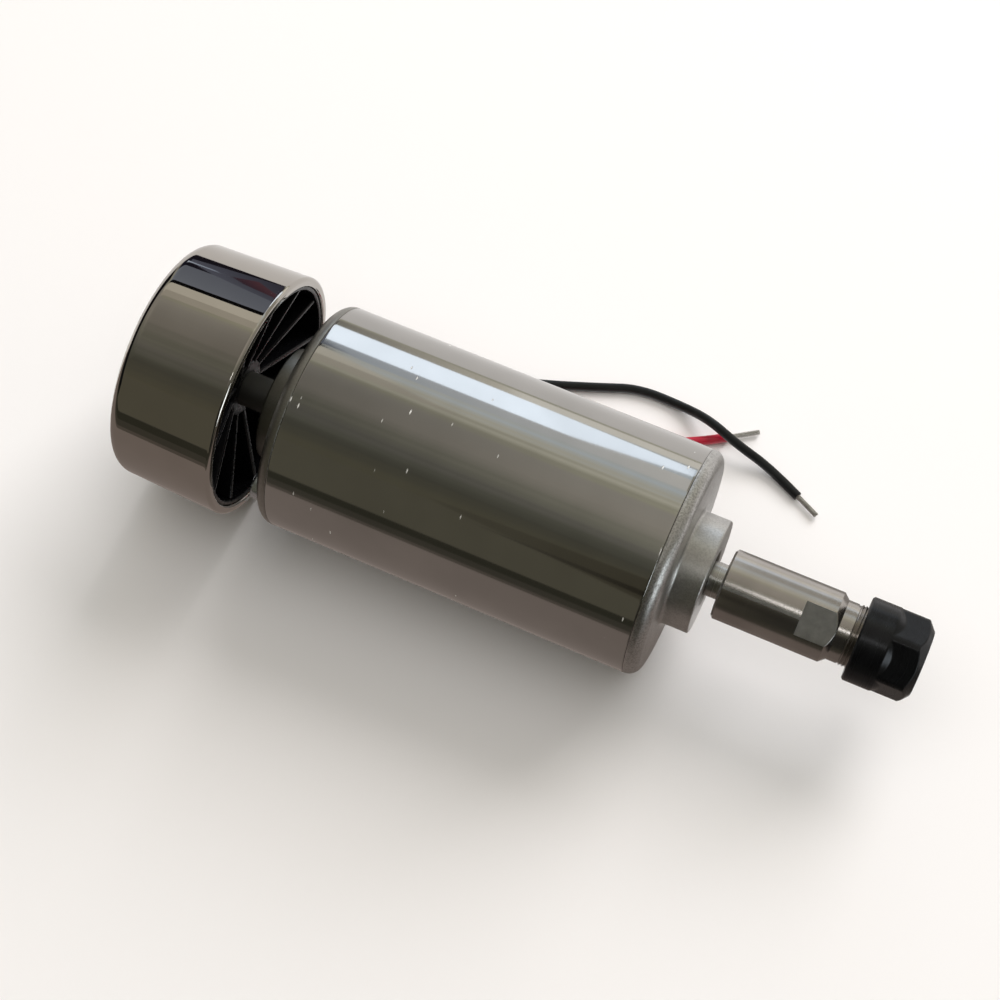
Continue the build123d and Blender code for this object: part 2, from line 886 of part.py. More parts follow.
def lead(name, route):
    radii = route_radii(route)
    path = FilletPolyline(*route, radius=radii)
    tube = sweep(Plane(path @ 0, z_dir=path % 0) * Circle(lead_r), path=path)
    expected = math.pi * lead_r**2 * path.length
    print(name, "length", round(path.length, 1), "radii", [round(radius, 1) for radius in radii])
    print(name, "volume over section times length", round(tube.volume / expected, 4))
    save(name, tube)


def lead_end(name, route, length):
    """Tinned bare end that goes straight on from the insulation."""
    start = Vector(*route[-1])
    section = Plane(start, z_dir=start - Vector(*route[-2])) * Circle(lead_end_r)
    save(name, extrude(section, length))


for colour, route in {"black": black_route, "red": red_route}.items():
    lead(f"{colour}_lead", route)
    lead_end(f"{colour}_lead_end", route, bare_ends[colour])
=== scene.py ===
import json
import math

import bmesh
import bpy
from mathutils import Matrix, Vector


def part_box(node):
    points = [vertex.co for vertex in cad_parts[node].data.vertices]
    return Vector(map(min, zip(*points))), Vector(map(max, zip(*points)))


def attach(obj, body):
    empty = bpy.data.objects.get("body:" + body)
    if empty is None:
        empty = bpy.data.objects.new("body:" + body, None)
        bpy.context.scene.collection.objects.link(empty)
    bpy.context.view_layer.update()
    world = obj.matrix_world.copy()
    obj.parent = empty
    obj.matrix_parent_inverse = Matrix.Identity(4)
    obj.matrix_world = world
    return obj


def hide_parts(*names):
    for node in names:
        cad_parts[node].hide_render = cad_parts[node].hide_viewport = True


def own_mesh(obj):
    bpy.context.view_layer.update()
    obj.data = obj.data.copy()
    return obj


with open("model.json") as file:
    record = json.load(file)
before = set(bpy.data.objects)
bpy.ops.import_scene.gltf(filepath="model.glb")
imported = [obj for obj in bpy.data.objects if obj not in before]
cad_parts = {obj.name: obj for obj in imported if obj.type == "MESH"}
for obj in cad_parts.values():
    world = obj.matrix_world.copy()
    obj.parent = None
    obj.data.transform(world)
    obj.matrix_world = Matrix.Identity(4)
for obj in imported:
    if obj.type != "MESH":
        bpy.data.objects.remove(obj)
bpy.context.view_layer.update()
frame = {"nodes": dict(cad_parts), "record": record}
nodes = frame["nodes"]
mm = 0.001
print("frame loaded:", len(nodes), "nodes")


def newObject(name, data):
    made = bpy.data.objects.new(name, data)
    bpy.context.scene.collection.objects.link(made)
    return made


# Camera, at the photograph's viewing angle: 24 degrees round and 65 degrees up
camera = {
    "place": (76.85, -166.68, 390.50),
    "forward": (-0.17299, 0.38297, -0.90742),
    "lens": 70.68,
    "sensor": 36.0,
}

cameraData = bpy.data.cameras.new("camera")
cameraData.lens = camera["lens"]
cameraData.sensor_width = camera["sensor"]
cameraData.clip_start = 0.01
cameraObject = newObject("camera", cameraData)
cameraObject.location = Vector(camera["place"]) * mm
cameraObject.rotation_euler = Vector(camera["forward"]).to_track_quat("-Z", "Y").to_euler()
bpy.context.scene.camera = cameraObject


# Colours and nodes
def linear(hexColour):
    channels = [int(hexColour[i:i + 2], 16) / 255 for i in (1, 3, 5)]
    return [c / 12.92 if c <= 0.04045 else ((c + 0.055) / 1.055) ** 2.4 for c in channels] + [1.0]


def addNode(tree, kind, inputs={}, **settings):
    node = tree.nodes.new(kind)
    for key, value in settings.items():
        setattr(node, key, value)
    for key, value in inputs.items():
        if isinstance(value, bpy.types.NodeSocket):
            tree.links.new(value, node.inputs[key])
        else:
            node.inputs[key].default_value = value
    return node


# Patterns, sized in millimetres. The marks of turning, grinding and rolling are really finer than this:
# they are drawn as coarse as they need to be to show.
def patternSpace(tree, lay):
    # where a pattern is read: freely in space, drawn out along the shaft, or as rings left by turning
    place = addNode(tree, "ShaderNodeTexCoord").outputs["Object"]
    if lay == "free":
        return place
    if lay == "along":
        stretch = addNode(tree, "ShaderNodeMapping", {"Vector": place, "Scale": (0.06, 1, 1)})
        return stretch.outputs["Vector"]
    parts = addNode(tree, "ShaderNodeSeparateXYZ", {"Vector": place})
    across = addNode(tree, "ShaderNodeCombineXYZ", {"Y": parts.outputs["Y"], "Z": parts.outputs["Z"]})
    radius = addNode(tree, "ShaderNodeVectorMath", {0: across.outputs[0]}, operation="LENGTH")
    path = addNode(tree, "ShaderNodeMath", {0: parts.outputs["X"], 1: radius.outputs["Value"]},
                   operation="ADD")
    return addNode(tree, "ShaderNodeCombineXYZ", {"X": path.outputs[0]}).outputs[0]


def grain(tree, space, size, detail=3.0):
    settings = {"Vector": space, "Scale": 1 / (size * mm), "Detail": detail, "Roughness": 0.6}
    return addNode(tree, "ShaderNodeTexNoise", settings).outputs["Fac"]


def spread(tree, factor, low, high, fromLow=0.3, fromHigh=0.7):
    settings = {"Value": factor, "From Min": fromLow, "From Max": fromHigh, "To Min": low, "To Max": high}
    return addNode(tree, "ShaderNodeMapRange", settings).outputs["Result"]


def blendColours(tree, factor, first, second):
    mixer = addNode(tree, "ShaderNodeMix", {"Factor": factor}, data_type="RGBA")
    for key, colour in (("A_Color", first), ("B_Color", second)):
        socket = next(s for s in mixer.inputs if s.identifier == key)
        if isinstance(colour, str):
            socket.default_value = linear(colour)
        else:
            tree.links.new(colour, socket)
    return next(s for s in mixer.outputs if s.identifier == "Result_Color")


def makeFinish(name, colours, metallic, roughness, lay, size, depth, **sockets):
    # colours: two close tones that drift over cloudSize; roughness: low and high;
    # size and depth: of the tool marks or the grain
    material = bpy.data.materials.new(name)
    material.use_nodes = True
    tree = material.node_tree
    shader = tree.nodes["Principled BSDF"]
    free = patternSpace(tree, "free")
    clouds = grain(tree, free, sockets.pop("cloudSize", 14.0), 2.0)
    marks = grain(tree, patternSpace(tree, lay), size)
    tone = blendColours(tree, spread(tree, clouds, 0, 1), *colours)
    tree.links.new(tone, shader.inputs["Base Color"])
    tree.links.new(spread(tree, marks, *roughness), shader.inputs["Roughness"])
    bump = addNode(tree, "ShaderNodeBump", {"Height": marks, "Distance": depth * mm, "Strength": 1.0})
    tree.links.new(bump.outputs["Normal"], shader.inputs["Normal"])
    shader.inputs["Metallic"].default_value = metallic
    for key, value in sockets.items():
        shader.inputs[key.replace("_", " ")].default_value = value
    return material


finishes = {
    # ground and buffed mild steel tube: nearly a mirror, with fine rings round it
    "polished_steel": makeFinish("polishedSteel", ("#B2B0AC", "#ABA9A5"), 1.0, (0.06, 0.1), "turned",
                                 0.5, 0.0003),
    # die-cast aluminium: pale grey and sandy, smoother where the boss is turned
    "cast_aluminium": makeFinish("castAluminium", ("#CFCDCA", "#BDBBB8"), 1.0, (0.3, 0.46), "free", 0.5, 0.1,
                                 cloudSize=4.0),
    # bright zinc on pressed steel: bluish and slightly cloudy
    "zinc_steel": makeFinish("zincPlatedSteel", ("#C2C6C9", "#AEB4B9"), 1.0, (0.22, 0.34), "free",
                             0.8, 0.002),
    # sintered ferrite: charcoal, matt and finely porous
    "ferrite": makeFinish("sinteredFerrite", ("#35363A", "#2B2C30"), 0.0, (0.55, 0.7), "free", 0.4, 0.01),
    # tempered strip: blued grey with rolling streaks
    "spring_steel": makeFinish("springSteel", ("#7F858C", "#6E747C"), 1.0, (0.25, 0.35), "along", 0.3, 0.001),
    # paper-filled phenolic sheet: brown, waxy and faintly fibrous
    "phenolic": makeFinish("phenolicSheet", ("#6B3F22", "#59321A"), 0.0, (0.4, 0.5), "along", 0.5, 0.003),
    # rolled brass: warm yellow with soft streaks
    "brass": makeFinish("rolledBrass", ("#C9A45A", "#B8924C"), 1.0, (0.25, 0.36), "along", 0.4, 0.001),
    # moulded rubber: nearly black, dull and dusty
    "black_rubber": makeFinish("mouldedRubber", ("#19191A", "#232323"), 0.0, (0.6, 0.75), "free", 0.3, 0.006),
    # extruded PVC: smooth with a soft sheen and faint lines along the wire
    "black_insulation": makeFinish("blackPvc", ("#0B0C0C", "#131414"), 0.0, (0.34, 0.46), "free", 0.9, 0.012,
                                   cloudSize=6.0, Specular_IOR_Level=0.35),
    "red_insulation": makeFinish("redPvc", ("#C41135", "#AC0B2A"), 0.0, (0.34, 0.46), "free", 0.9, 0.012,
                                 cloudSize=6.0),
    # dip-tinned copper strands: pewter grey, lumpy where the solder set
    "tinned_copper": makeFinish("tinnedCopper", ("#DAD6D0", "#B5B0AA"), 1.0, (0.35, 0.5), "free", 0.6, 0.02,
                                cloudSize=2.0),
    # pressed carbon: soft black with a greasy shine
    "carbon": makeFinish("pressedCarbon", ("#232324", "#1A1A1B"), 0.1, (0.4, 0.55), "along", 0.4, 0.004),
    # centreless-ground steel: bright with very fine rings
    "ground_steel": makeFinish("groundSteel", ("#B7B5B1", "#A9A7A2"), 1.0, (0.2, 0.3), "turned",
                               0.25, 0.0008),
    # stacked silicon-steel laminations: grey with a line at every sheet
    "lamination_steel": makeFinish("laminationSteel", ("#77777A", "#67676A"), 1.0, (0.35, 0.5), "turned",
                                   0.5, 0.01),
    # varnished winding wire: deep orange-brown and glossy
    "enamelled_copper": makeFinish("enamelledCopper", ("#A8501F", "#8C3D15"), 0.6, (0.2, 0.32), "free",
                                   0.7, 0.05, Coat_Weight=0.6),
    # drawn copper, run in by the brushes: salmon with a brown glaze
    "commutator_copper": makeFinish("commutatorCopper", ("#B87550", "#9A5B3C"), 1.0, (0.2, 0.32), "turned",
                                    0.4, 0.002),
    # through-hardened bearing steel, lapped: clean bright grey
    "bearing_steel": makeFinish("lappedBearingSteel", ("#C4C4C3", "#B9B9B8"), 1.0, (0.08, 0.14), "turned",
                                0.4, 0.0004),
    # pressed steel strip for the ball cages: greyer and softer
    "bearing_cage_steel": makeFinish("pressedCageSteel", ("#A9A9A6", "#989894"), 1.0, (0.25, 0.36), "free",
                                     0.8, 0.002),
    # bright nickel and chromium on a spun cup: a dark mirror with a slight ripple
    "bright_plating": makeFinish("brightPlating", ("#B6B1AA", "#B0ABA4"), 1.0, (0.02, 0.05), "free",
                                 9.0, 0.004),
    # glossy moulded nylon: black, with sharp highlights and a slight orange peel
    "gloss_black_plastic": makeFinish("glossNylon", ("#08080A", "#0D0D0F"), 0.0, (0.24, 0.34), "free",
                                      1.6, 0.006, Specular_IOR_Level=0.3),
    # turned and lightly polished steel: satin, with rings from the tool
    "turned_steel": makeFinish("turnedSteel", ("#B9B4AF", "#A9A49F"), 1.0, (0.17, 0.25), "turned",
                               0.45, 0.0012),
    # oiled black oxide over turned steel: black with a low satin shine
    "black_oxide_steel": makeFinish("blackOxideSteel", ("#141416", "#1C1D1F"), 0.55, (0.2, 0.3), "turned",
                                    0.5, 0.0018, cloudSize=3.0),
}
# where the chuck's flats are milled, the steel is matt and finely grained
milledSteel = makeFinish("milledSteel", ("#B4B3B0", "#9E9D9B"), 1.0, (0.36, 0.5), "free", 0.25, 0.012,
                         cloudSize=2.0)


def shaftRadius(tree):
    place = addNode(tree, "ShaderNodeTexCoord").outputs["Object"]
    across = addNode(tree, "ShaderNodeVectorMath", {0: place, 1: (0, 1, 1)}, operation="MULTIPLY")
    return addNode(tree, "ShaderNodeVectorMath", {0: across.outputs[0]}, operation="LENGTH").outputs["Value"]


def alongShaft(tree):
    place = addNode(tree, "ShaderNodeTexCoord").outputs["Object"]
    return addNode(tree, "ShaderNodeSeparateXYZ", {"Vector": place}).outputs["X"]


# The casting's skin: coarse and pitted on the rounded edge and finer on the face and the boss.
# Each pair of strengths runs from the boss out to the edge.
casting = {
    "boss": 13.1, "edge": 24.5, "relief": (0.2, 0.8), "pitting": (0.3, 0.6),
    "speck": 0.4, "speckCut": (0.44, 0.62), "pitColour": "#93918E",
    # painted shade on the rear cap: its colours from the boss out to the edge, and how much of the casting's
    # colour it covers
    "oiled": ("#66645B", "#8E8B84"), "film": 0.85,
}
outwards = (casting["boss"] * mm, casting["edge"] * mm)
tree = finishes["cast_aluminium"].node_tree
shader = tree.nodes["Principled BSDF"]
relief = spread(tree, shaftRadius(tree), *casting["relief"], *outwards)
tree.links.new(relief, tree.nodes["Bump"].inputs["Strength"])
specks = grain(tree, patternSpace(tree, "free"), casting["speck"], 1.0)
pits = addNode(tree, "ShaderNodeMath", {0: spread(tree, specks, 0, 1, *casting["speckCut"]),
                                        1: spread(tree, shaftRadius(tree), *casting["pitting"], *outwards)},
               operation="MULTIPLY").outputs[0]
skin = blendColours(tree, pits, shader.inputs["Base Color"].links[0].from_socket, casting["pitColour"])
# painted shade: the whole rear cap is darkened, most at its boss, which sits between the fan cup and the tube
rearShadeMask = addNode(tree, "ShaderNodeMath", {0: alongShaft(tree), 1: 0.0}, operation="LESS_THAN").outputs[0]
rearShadeMask = addNode(tree, "ShaderNodeMath", {0: rearShadeMask, 1: casting["film"]}, operation="MULTIPLY").outputs[0]
film = blendColours(tree, spread(tree, shaftRadius(tree), 0, 1, *outwards), *casting["oiled"])
tree.links.new(blendColours(tree, rearShadeMask, skin, film), shader.inputs["Base Color"])

# Towards its rear end the shaft is darker and duller than the ground part
darkerRearEnd = {"end": -53.0, "fadesBy": -50.0, "colour": "#83827E", "duller": 0.35}
tree = finishes["ground_steel"].node_tree
shader = tree.nodes["Principled BSDF"]
towardsRearEnd = spread(tree, alongShaft(tree), 1, 0, darkerRearEnd["end"] * mm, darkerRearEnd["fadesBy"] * mm)
ground = shader.inputs["Base Color"].links[0].from_socket
tree.links.new(blendColours(tree, towardsRearEnd, ground, darkerRearEnd["colour"]), shader.inputs["Base Color"])
rough = shader.inputs["Roughness"].links[0].from_socket
duller = addNode(tree, "ShaderNodeMath", {0: towardsRearEnd, 1: darkerRearEnd["duller"], 2: rough},
                 operation="MULTIPLY_ADD")
tree.links.new(duller.outputs[0], shader.inputs["Roughness"])

# Nicks on the tube: small, sparse and drawn out round it, where handling broke the polish
nicks = {"spacing": 8.0, "length": 0.75, "narrower": 3.5, "share": 0.36, "colour": "#DAD8D3", "duller": 0.5,
         "depth": 0.02}
tree = finishes["polished_steel"].node_tree
shader = tree.nodes["Principled BSDF"]
place = addNode(tree, "ShaderNodeTexCoord").outputs["Object"]
narrow = addNode(tree, "ShaderNodeMapping", {"Vector": place, "Scale": (nicks["narrower"], 1, 1)})
cells = addNode(tree, "ShaderNodeTexVoronoi", {"Vector": narrow.outputs[0],
                                               "Scale": 1 / (nicks["spacing"] * mm)})
reach = nicks["length"] / nicks["spacing"]
spot = spread(tree, cells.outputs["Distance"], 1, 0, reach * 0.5, reach)
channels = addNode(tree, "ShaderNodeSeparateColor", {"Color": cells.outputs["Color"]})
chosen = addNode(tree, "ShaderNodeMath", {0: channels.outputs[0], 1: nicks["share"]},
                 operation="LESS_THAN")
nick = addNode(tree, "ShaderNodeMath", {0: spot, 1: chosen.outputs[0]}, operation="MULTIPLY").outputs[0]
polish = shader.inputs["Base Color"].links[0].from_socket
tree.links.new(blendColours(tree, nick, polish, nicks["colour"]), shader.inputs["Base Color"])
rough = shader.inputs["Roughness"].links[0].from_socket
duller = addNode(tree, "ShaderNodeMath", {0: nick, 1: nicks["duller"], 2: rough}, operation="MULTIPLY_ADD")
tree.links.new(duller.outputs[0], shader.inputs["Roughness"])
unbroken = addNode(tree, "ShaderNodeMath", {0: 1.0, 1: nick}, operation="SUBTRACT")
tree.links.new(unbroken.outputs[0], shader.inputs["Metallic"])
dent = addNode(tree, "ShaderNodeBump", {"Height": nick, "Distance": -nicks["depth"] * mm,
                                        "Normal": tree.nodes["Bump"].outputs[0]})
tree.links.new(dent.outputs["Normal"], shader.inputs["Normal"])
print("finishes made:", len(finishes) + 1)

sharpFrom = 35.0    # degrees between two faces
slotOf = {part["node"]: part["material_slot"] for part in frame["record"]["subparts"]}
for name, node in nodes.items():
    node.data.materials.clear()
    node.data.materials.append(finishes[slotOf[name]])


def addPiece(name, mesh, body, node):
    piece = newObject(name, mesh)
    slot = slotOf[node]
    mesh.materials.clear()
    mesh.materials.append(finishes[slot])
    mesh.set_sharp_from_angle(angle=math.radians(sharpFrom))
    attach(piece, body)
    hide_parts(node)
    return piece


# Turned forms
onAxis = 1e-6    # a smaller radius than this is the shaft's own axis


def roundCorners(corners, steps=6):
    # corners are (x, radius) or (x, radius, rounding), all round a closed outline
    outline = []
    for i, corner in enumerate(corners):
        here = Vector(corner[:2])
        if len(corner) == 2:
            outline.append(tuple(here))
            continue
        back = (Vector(corners[i - 1][:2]) - here).normalized()
        ahead = (Vector(corners[(i + 1) % len(corners)][:2]) - here).normalized()
        half = back.angle(ahead) / 2
        centre = here + (back + ahead).normalized() * corner[2] / math.sin(half)
        first = here + back * corner[2] / math.tan(half) - centre
        last = here + ahead * corner[2] / math.tan(half) - centre
        for k in range(steps + 1):
            turn = first.lerp(last, k / steps).normalized() * corner[2]
            outline.append(tuple(centre + turn))
    return outline


def heldOutline(outline, hold=0.4):
    # a point close to each end of a long run, so that the rounding beside it doesn't bend the run's shading
    held = []
    for start, end in zip(outline, outline[1:] + outline[:1]):
        held.append(start)
        run = math.dist(start, end)
        if run > 4 * hold and min(start[1], end[1]) > onAxis:
            for share in (hold / run, 1 - hold / run):
                held.append(tuple(Vector(start).lerp(Vector(end), share)))
    return held


def turnOutline(name, outline, angles=256, cut=None):
    # turns a closed (x, radius) outline about the shaft; cut(x, radius, angle) may take the radius back
    outline = heldOutline(outline)
    if isinstance(angles, int):
        angles = [2 * math.pi * k / angles for k in range(angles)]
    work = bmesh.new()
    rings = []
    for x, radius in outline:
        if radius < onAxis:
            rings.append([work.verts.new((x * mm, 0, 0))] * len(angles))
            continue
        ring = []
        for angle in angles:
            r = cut(x, radius, angle) if cut else radius
            ring.append(work.verts.new((x * mm, r * math.cos(angle) * mm, r * math.sin(angle) * mm)))
        rings.append(ring)
    for ring, following in zip(rings, rings[1:] + rings[:1]):
        for k in range(len(angles)):
            j = (k + 1) % len(angles)
            face = list(dict.fromkeys((ring[k], following[k], following[j], ring[j])))
            if len(face) > 2:
                work.faces.new(face)
    bmesh.ops.recalc_face_normals(work, faces=work.faces)
    mesh = bpy.data.meshes.new(name)
    work.to_mesh(mesh)
    work.free()
    mesh.shade_smooth()
    return mesh


def evaluated(name, base):
    # the result of a piece's modifiers as a plain mesh
    bpy.context.view_layer.update()
    mesh = bpy.data.meshes.new_from_object(base.evaluated_get(bpy.context.evaluated_depsgraph_get()))
    mesh.name = name
    bpy.data.objects.remove(base)
    return mesh


def cutAway(name, mesh, cutters):
    base = newObject(name + "Blank", mesh)
    tools = [newObject(f"{name}Cutter{k}", cutter) for k, cutter in enumerate(cutters)]
    for tool in tools:
        modifier = base.modifiers.new("cut", "BOOLEAN")
        modifier.object = tool
        modifier.solver = "EXACT"
    result = evaluated(name, base)
    for tool in tools:
        bpy.data.objects.remove(tool)
    result.shade_smooth()
    return result


def shifted(mesh, y, angle=0.0):
    mesh.transform(Matrix.Rotation(math.radians(angle), 4, "X") @ Matrix.Translation((0, y * mm, 0)))
    return mesh


# Geometry Nodes trees: what stands round the shaft, and what winds round it
def newTree(name, inputs):
    tree = bpy.data.node_groups.new(name, "GeometryNodeTree")
    tree.interface.new_socket("Geometry", in_out="INPUT", socket_type="NodeSocketGeometry")
    for label, kind in inputs.items():
        tree.interface.new_socket(label, in_out="INPUT", socket_type=f"NodeSocket{kind}")
    tree.interface.new_socket("Geometry", in_out="OUTPUT", socket_type="NodeSocketGeometry")
    return tree, addNode(tree, "NodeGroupInput").outputs


def endTree(tree, geometry, material):
    solid = addNode(tree, "GeometryNodeRealizeInstances", {"Geometry": geometry})
    painted = addNode(tree, "GeometryNodeSetMaterial", {"Geometry": solid.outputs[0], "Material": material})
    addNode(tree, "NodeGroupOutput", {"Geometry": painted.outputs[0]})


def turnedCopies(tree, geometry, count, firstAngle, axis):
    # count copies of the geometry, evenly round an axis through the origin
    points = addNode(tree, "GeometryNodeMeshLine", {"Count": count, "Offset": (0, 0, 0)})
    step = addNode(tree, "ShaderNodeMath", {0: 2 * math.pi, 1: count}, operation="DIVIDE")
    index = addNode(tree, "GeometryNodeInputIndex")
    turn = addNode(tree, "ShaderNodeMath", {0: index.outputs[0], 1: step.outputs[0], 2: firstAngle},
                   operation="MULTIPLY_ADD")
    rotation = addNode(tree, "ShaderNodeCombineXYZ", {axis: turn.outputs[0]})
    settings = {"Points": points.outputs[0], "Instance": geometry, "Rotation": rotation.outputs[0]}
    return addNode(tree, "GeometryNodeInstanceOnPoints", settings).outputs[0]


roundInputs = {"Count": "Int", "First Angle": "Float", "Material": "Material"}
roundTree, given = newTree("standsRoundShaft", roundInputs)
copies = turnedCopies(roundTree, given["Geometry"], given["Count"], given["First Angle"], "X")
endTree(roundTree, copies, given["Material"])

helixInputs = {"Count": "Int", "Turns": "Float", "Length": "Float", "Radius": "Float", "Thickness": "Float",
               "Sides": "Int", "Steps": "Int", "Material": "Material"}
helixTree, given = newTree("windsRoundAxis", helixInputs)
spiral = addNode(helixTree, "GeometryNodeCurveSpiral", {
    "Resolution": given["Steps"], "Rotations": given["Turns"], "Start Radius": given["Radius"],
    "End Radius": given["Radius"], "Height": given["Length"],
})
steady = addNode(helixTree, "GeometryNodeSetCurveNormal", {"Curve": spiral.outputs[0]}, mode="Z_UP")
section = addNode(helixTree, "GeometryNodeCurvePrimitiveCircle", {
    "Resolution": given["Sides"], "Radius": given["Thickness"],
})
strand = addNode(helixTree, "GeometryNodeCurveToMesh", {
    "Curve": steady.outputs[0], "Profile Curve": section.outputs[0], "Fill Caps": True,
})
endTree(helixTree, turnedCopies(helixTree, strand.outputs[0], given["Count"], 0.0, "Z"), given["Material"])


def growWith(tree, name, mesh, **inputs):
    # runs a tree on a mesh; inputs are set by their identifiers, then the result is made plain
    base = newObject(name + "Base", mesh)
    modifier = base.modifiers.new("grow", "NODES")
    modifier.node_group = tree
    identifiers = {item.name.replace(" ", ""): item.identifier for item in tree.interface.items_tree
                   if item.in_out == "INPUT"}
    for key, value in inputs.items():
        modifier[identifiers[key]] = value
    return evaluated(name, base)


print("tools ready")

# Floor: the plane that the fan rim and the front end of the tube stand on
floor = {"half": 2500.0, "colour": "#F0EDEC", "roughness": 0.8,
         "frontX": 41.75, "frontZ": -26.0, "rearX": -56.35, "rearZ": -28.5}
floor["slope"] = (floor["frontZ"] - floor["rearZ"]) / (floor["frontX"] - floor["rearX"])


def floorHeight(x):
    return floor["frontZ"] + (x - floor["frontX"]) * floor["slope"]


# Leads: PVC-covered wires, 2.2 mm thick, that come out of the rear cap and lie on the floor
leads = {
    "radius": 1.1,
    "restGap": 0.05,
    "crossingLift": 3.5,
    "exitPitchRadius": 19.0,
    "startX": -38.35,
    "exitX": -45.05,
    "black": {
        "exitAngle": -38.0, "beforeTurn": -50.0, "length": 0.144, "bareLength": 6.3,
        "falling": [(-50.6, 21.0, -15.8), (-47.5, 29.5, -20.5), (-38.0, 36.5, -25.2)],
        "lying": [(-22.0, 36.5, 0), (-7.0, 40.8, 0), (6.9, 45.9, 0), (15.9, 49.5, 0), (27.7, 49.1, 0),
                  (35.0, 46.4, 1), (43.0, 43.1, 1), (52.2, 42.1, 0), (60.6, 37.8, 0)],
    },
    "red": {
        "exitAngle": -56.317, "beforeTurn": -48.6, "length": 0.1164, "bareLength": 8.0,
        "falling": [(-49.4, 16.4, -20.4), (-46.5, 24.0, -25.0)],
        "lying": [(-37.0, 31.0, 0), (-21.0, 33.5, 0), (-2.0, 35.2, 0), (15.9, 36.1, 0), (29.8, 38.9, 0),
                  (39.7, 45.5, 0)],
    },
    "strands": {"count": 7, "turns": 1.6, "radius": 0.41, "thickness": 0.21, "sides": 10, "steps": 24},
}


def leadRoute(lead):
    angle = math.radians(lead["exitAngle"])
    y, z = leads["exitPitchRadius"] * math.cos(angle), leads["exitPitchRadius"] * math.sin(angle)
    route = [(leads["startX"], y, z), (lead["beforeTurn"], y, z)] + lead["falling"]
    for x, y, lifted in lead["lying"]:
        rise = leads["radius"] + leads["restGap"] + lifted * leads["crossingLift"]
        route.append((x, y, floorHeight(x) + rise))
    return [Vector(point) for point in route]


for colour in ("black", "red"):
    lead = leads[colour]
    route = leadRoute(lead)
    curve = bpy.data.curves.new(f"{colour}_lead_wire", "CURVE")
    curve.dimensions = "3D"
    spline = curve.splines.new("NURBS")
    spline.points.add(len(route) - 1)
    for point, place in zip(spline.points, route):
        point.co = (*(place * mm), 1)
    spline.order_u = 3
    spline.use_endpoint_u = True
    spline.resolution_u = 16
    curve.bevel_depth = leads["radius"] * mm
    curve.bevel_resolution = 7
    curve.use_fill_caps = True
    wire = newObject(f"{colour}_lead_wire", curve)
    curve.materials.append(finishes[f"{colour}_insulation"])
    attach(wire, "motor")
    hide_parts(f"{colour}_lead")

    twist = leads["strands"]
    strands = growWith(helixTree, f"{colour}_strands", bpy.data.meshes.new("none"), Count=twist["count"],
                       Turns=twist["turns"], Length=lead["bareLength"] * mm, Radius=twist["radius"] * mm,
                       Thickness=twist["thickness"] * mm, Sides=twist["sides"], Steps=twist["steps"],
                       Material=finishes["tinned_copper"])
    aim = (route[-1] - route[-2]).to_track_quat("Z", "Y").to_matrix().to_4x4()
    strands.transform(Matrix.Translation(route[-1] * mm) @ aim)
    strands.shade_smooth()
    bareEnd = addPiece(f"{colour}_lead_strands", strands, "motor", f"{colour}_lead_end")
print("leads laid")

# Motor tube
tube = {"radius": 26.0, "bore": 24.0, "front": 41.75, "rear": -42.9, "edge": 0.22}

corners = [
    (tube["rear"], tube["bore"], tube["edge"]),
    (tube["front"], tube["bore"], tube["edge"]),
    (tube["front"], tube["radius"], tube["edge"]),
    (tube["rear"], tube["radius"], tube["edge"]),
]
addPiece("tube_skin", turnOutline("tube_skin", roundCorners(corners), 360), "motor", "motor_tube")
print("tube turned")

# End caps, as distances from their seam with the tube
caps = {
    "front": {"face": 3.0, "edge": 2.8, "bossEnd": 9.5, "lip": 1.25, "seam": tube["front"]},
    "rear": {"face": 2.8, "edge": 2.5, "bossEnd": 9.15, "lip": 1.25, "seam": tube["rear"]},
    "radius": 26.0,
    "bossRadius": 13.0,
    "holeRadius": 6.5,
    "bearingRadius": 11.02,
    "spigotRadius": 23.95,
    "spigotDepth": 4.0,
    "spigotWall": 2.4,
    "plateInset": 1.0,
    "grommetHoles": {"radius": 2.6, "pitchRadius": 19.0, "angles": (-38.0, -56.317)},
    "grommetRecess": {"radius": 3.15, "floorX": -44.25},
    "boltHoles": {"radius": 2.15, "pitchRadius": 20.0, "angles": (0.0, 180.0)},
    "drilledX": (-50.0, -36.0),
}


def capMesh(name, cap):
    corners = [
        (cap["bossEnd"] - cap["lip"], caps["holeRadius"], 0.15),
        (cap["bossEnd"], caps["holeRadius"], 0.3),
        (cap["bossEnd"], caps["bossRadius"], 0.4),
        (cap["face"], caps["bossRadius"], 0.8),
        (cap["face"], caps["radius"], cap["edge"]),
        (0, caps["radius"], 0.18),
        (0, caps["spigotRadius"]),
        (-caps["spigotDepth"], caps["spigotRadius"], 0.3),
        (-caps["spigotDepth"], caps["spigotRadius"] - caps["spigotWall"], 0.3),
        (-caps["plateInset"], caps["spigotRadius"] - caps["spigotWall"], 0.8),
        (-caps["plateInset"], caps["bearingRadius"], 0.2),
        (cap["bossEnd"] - cap["lip"], caps["bearingRadius"]),
    ]
    side = math.copysign(1, cap["seam"])
    place = [(cap["seam"] + side * x, r) for x, r in roundCorners(corners, 10)]
    return turnOutline(name, place, 256)


addPiece("front_cap_casting", capMesh("front_cap_casting", caps["front"]), "motor", "front_end_cap")

# Holes right through the rear cap, then the recess that the grommets' flanges sit in
outside, inside = caps["drilledX"]
recess = caps["grommetRecess"]
drills = [(caps["grommetHoles"], caps["grommetHoles"]["radius"], inside),
          (caps["boltHoles"], caps["boltHoles"]["radius"], inside),
          (caps["grommetHoles"], recess["radius"], recess["floorX"])]
cutters = []
for holes, radius, end in drills:
    for angle in holes["angles"]:
        span = [(outside, 0), (outside, radius), (end, radius), (end, 0)]
        cutters.append(shifted(turnOutline("hole", span, 48), holes["pitchRadius"], angle))
rearCap = cutAway("rear_cap_casting", capMesh("rearBlank", caps["rear"]), cutters)
addPiece("rear_cap_casting", rearCap, "motor", "rear_end_cap")
print("caps cast")

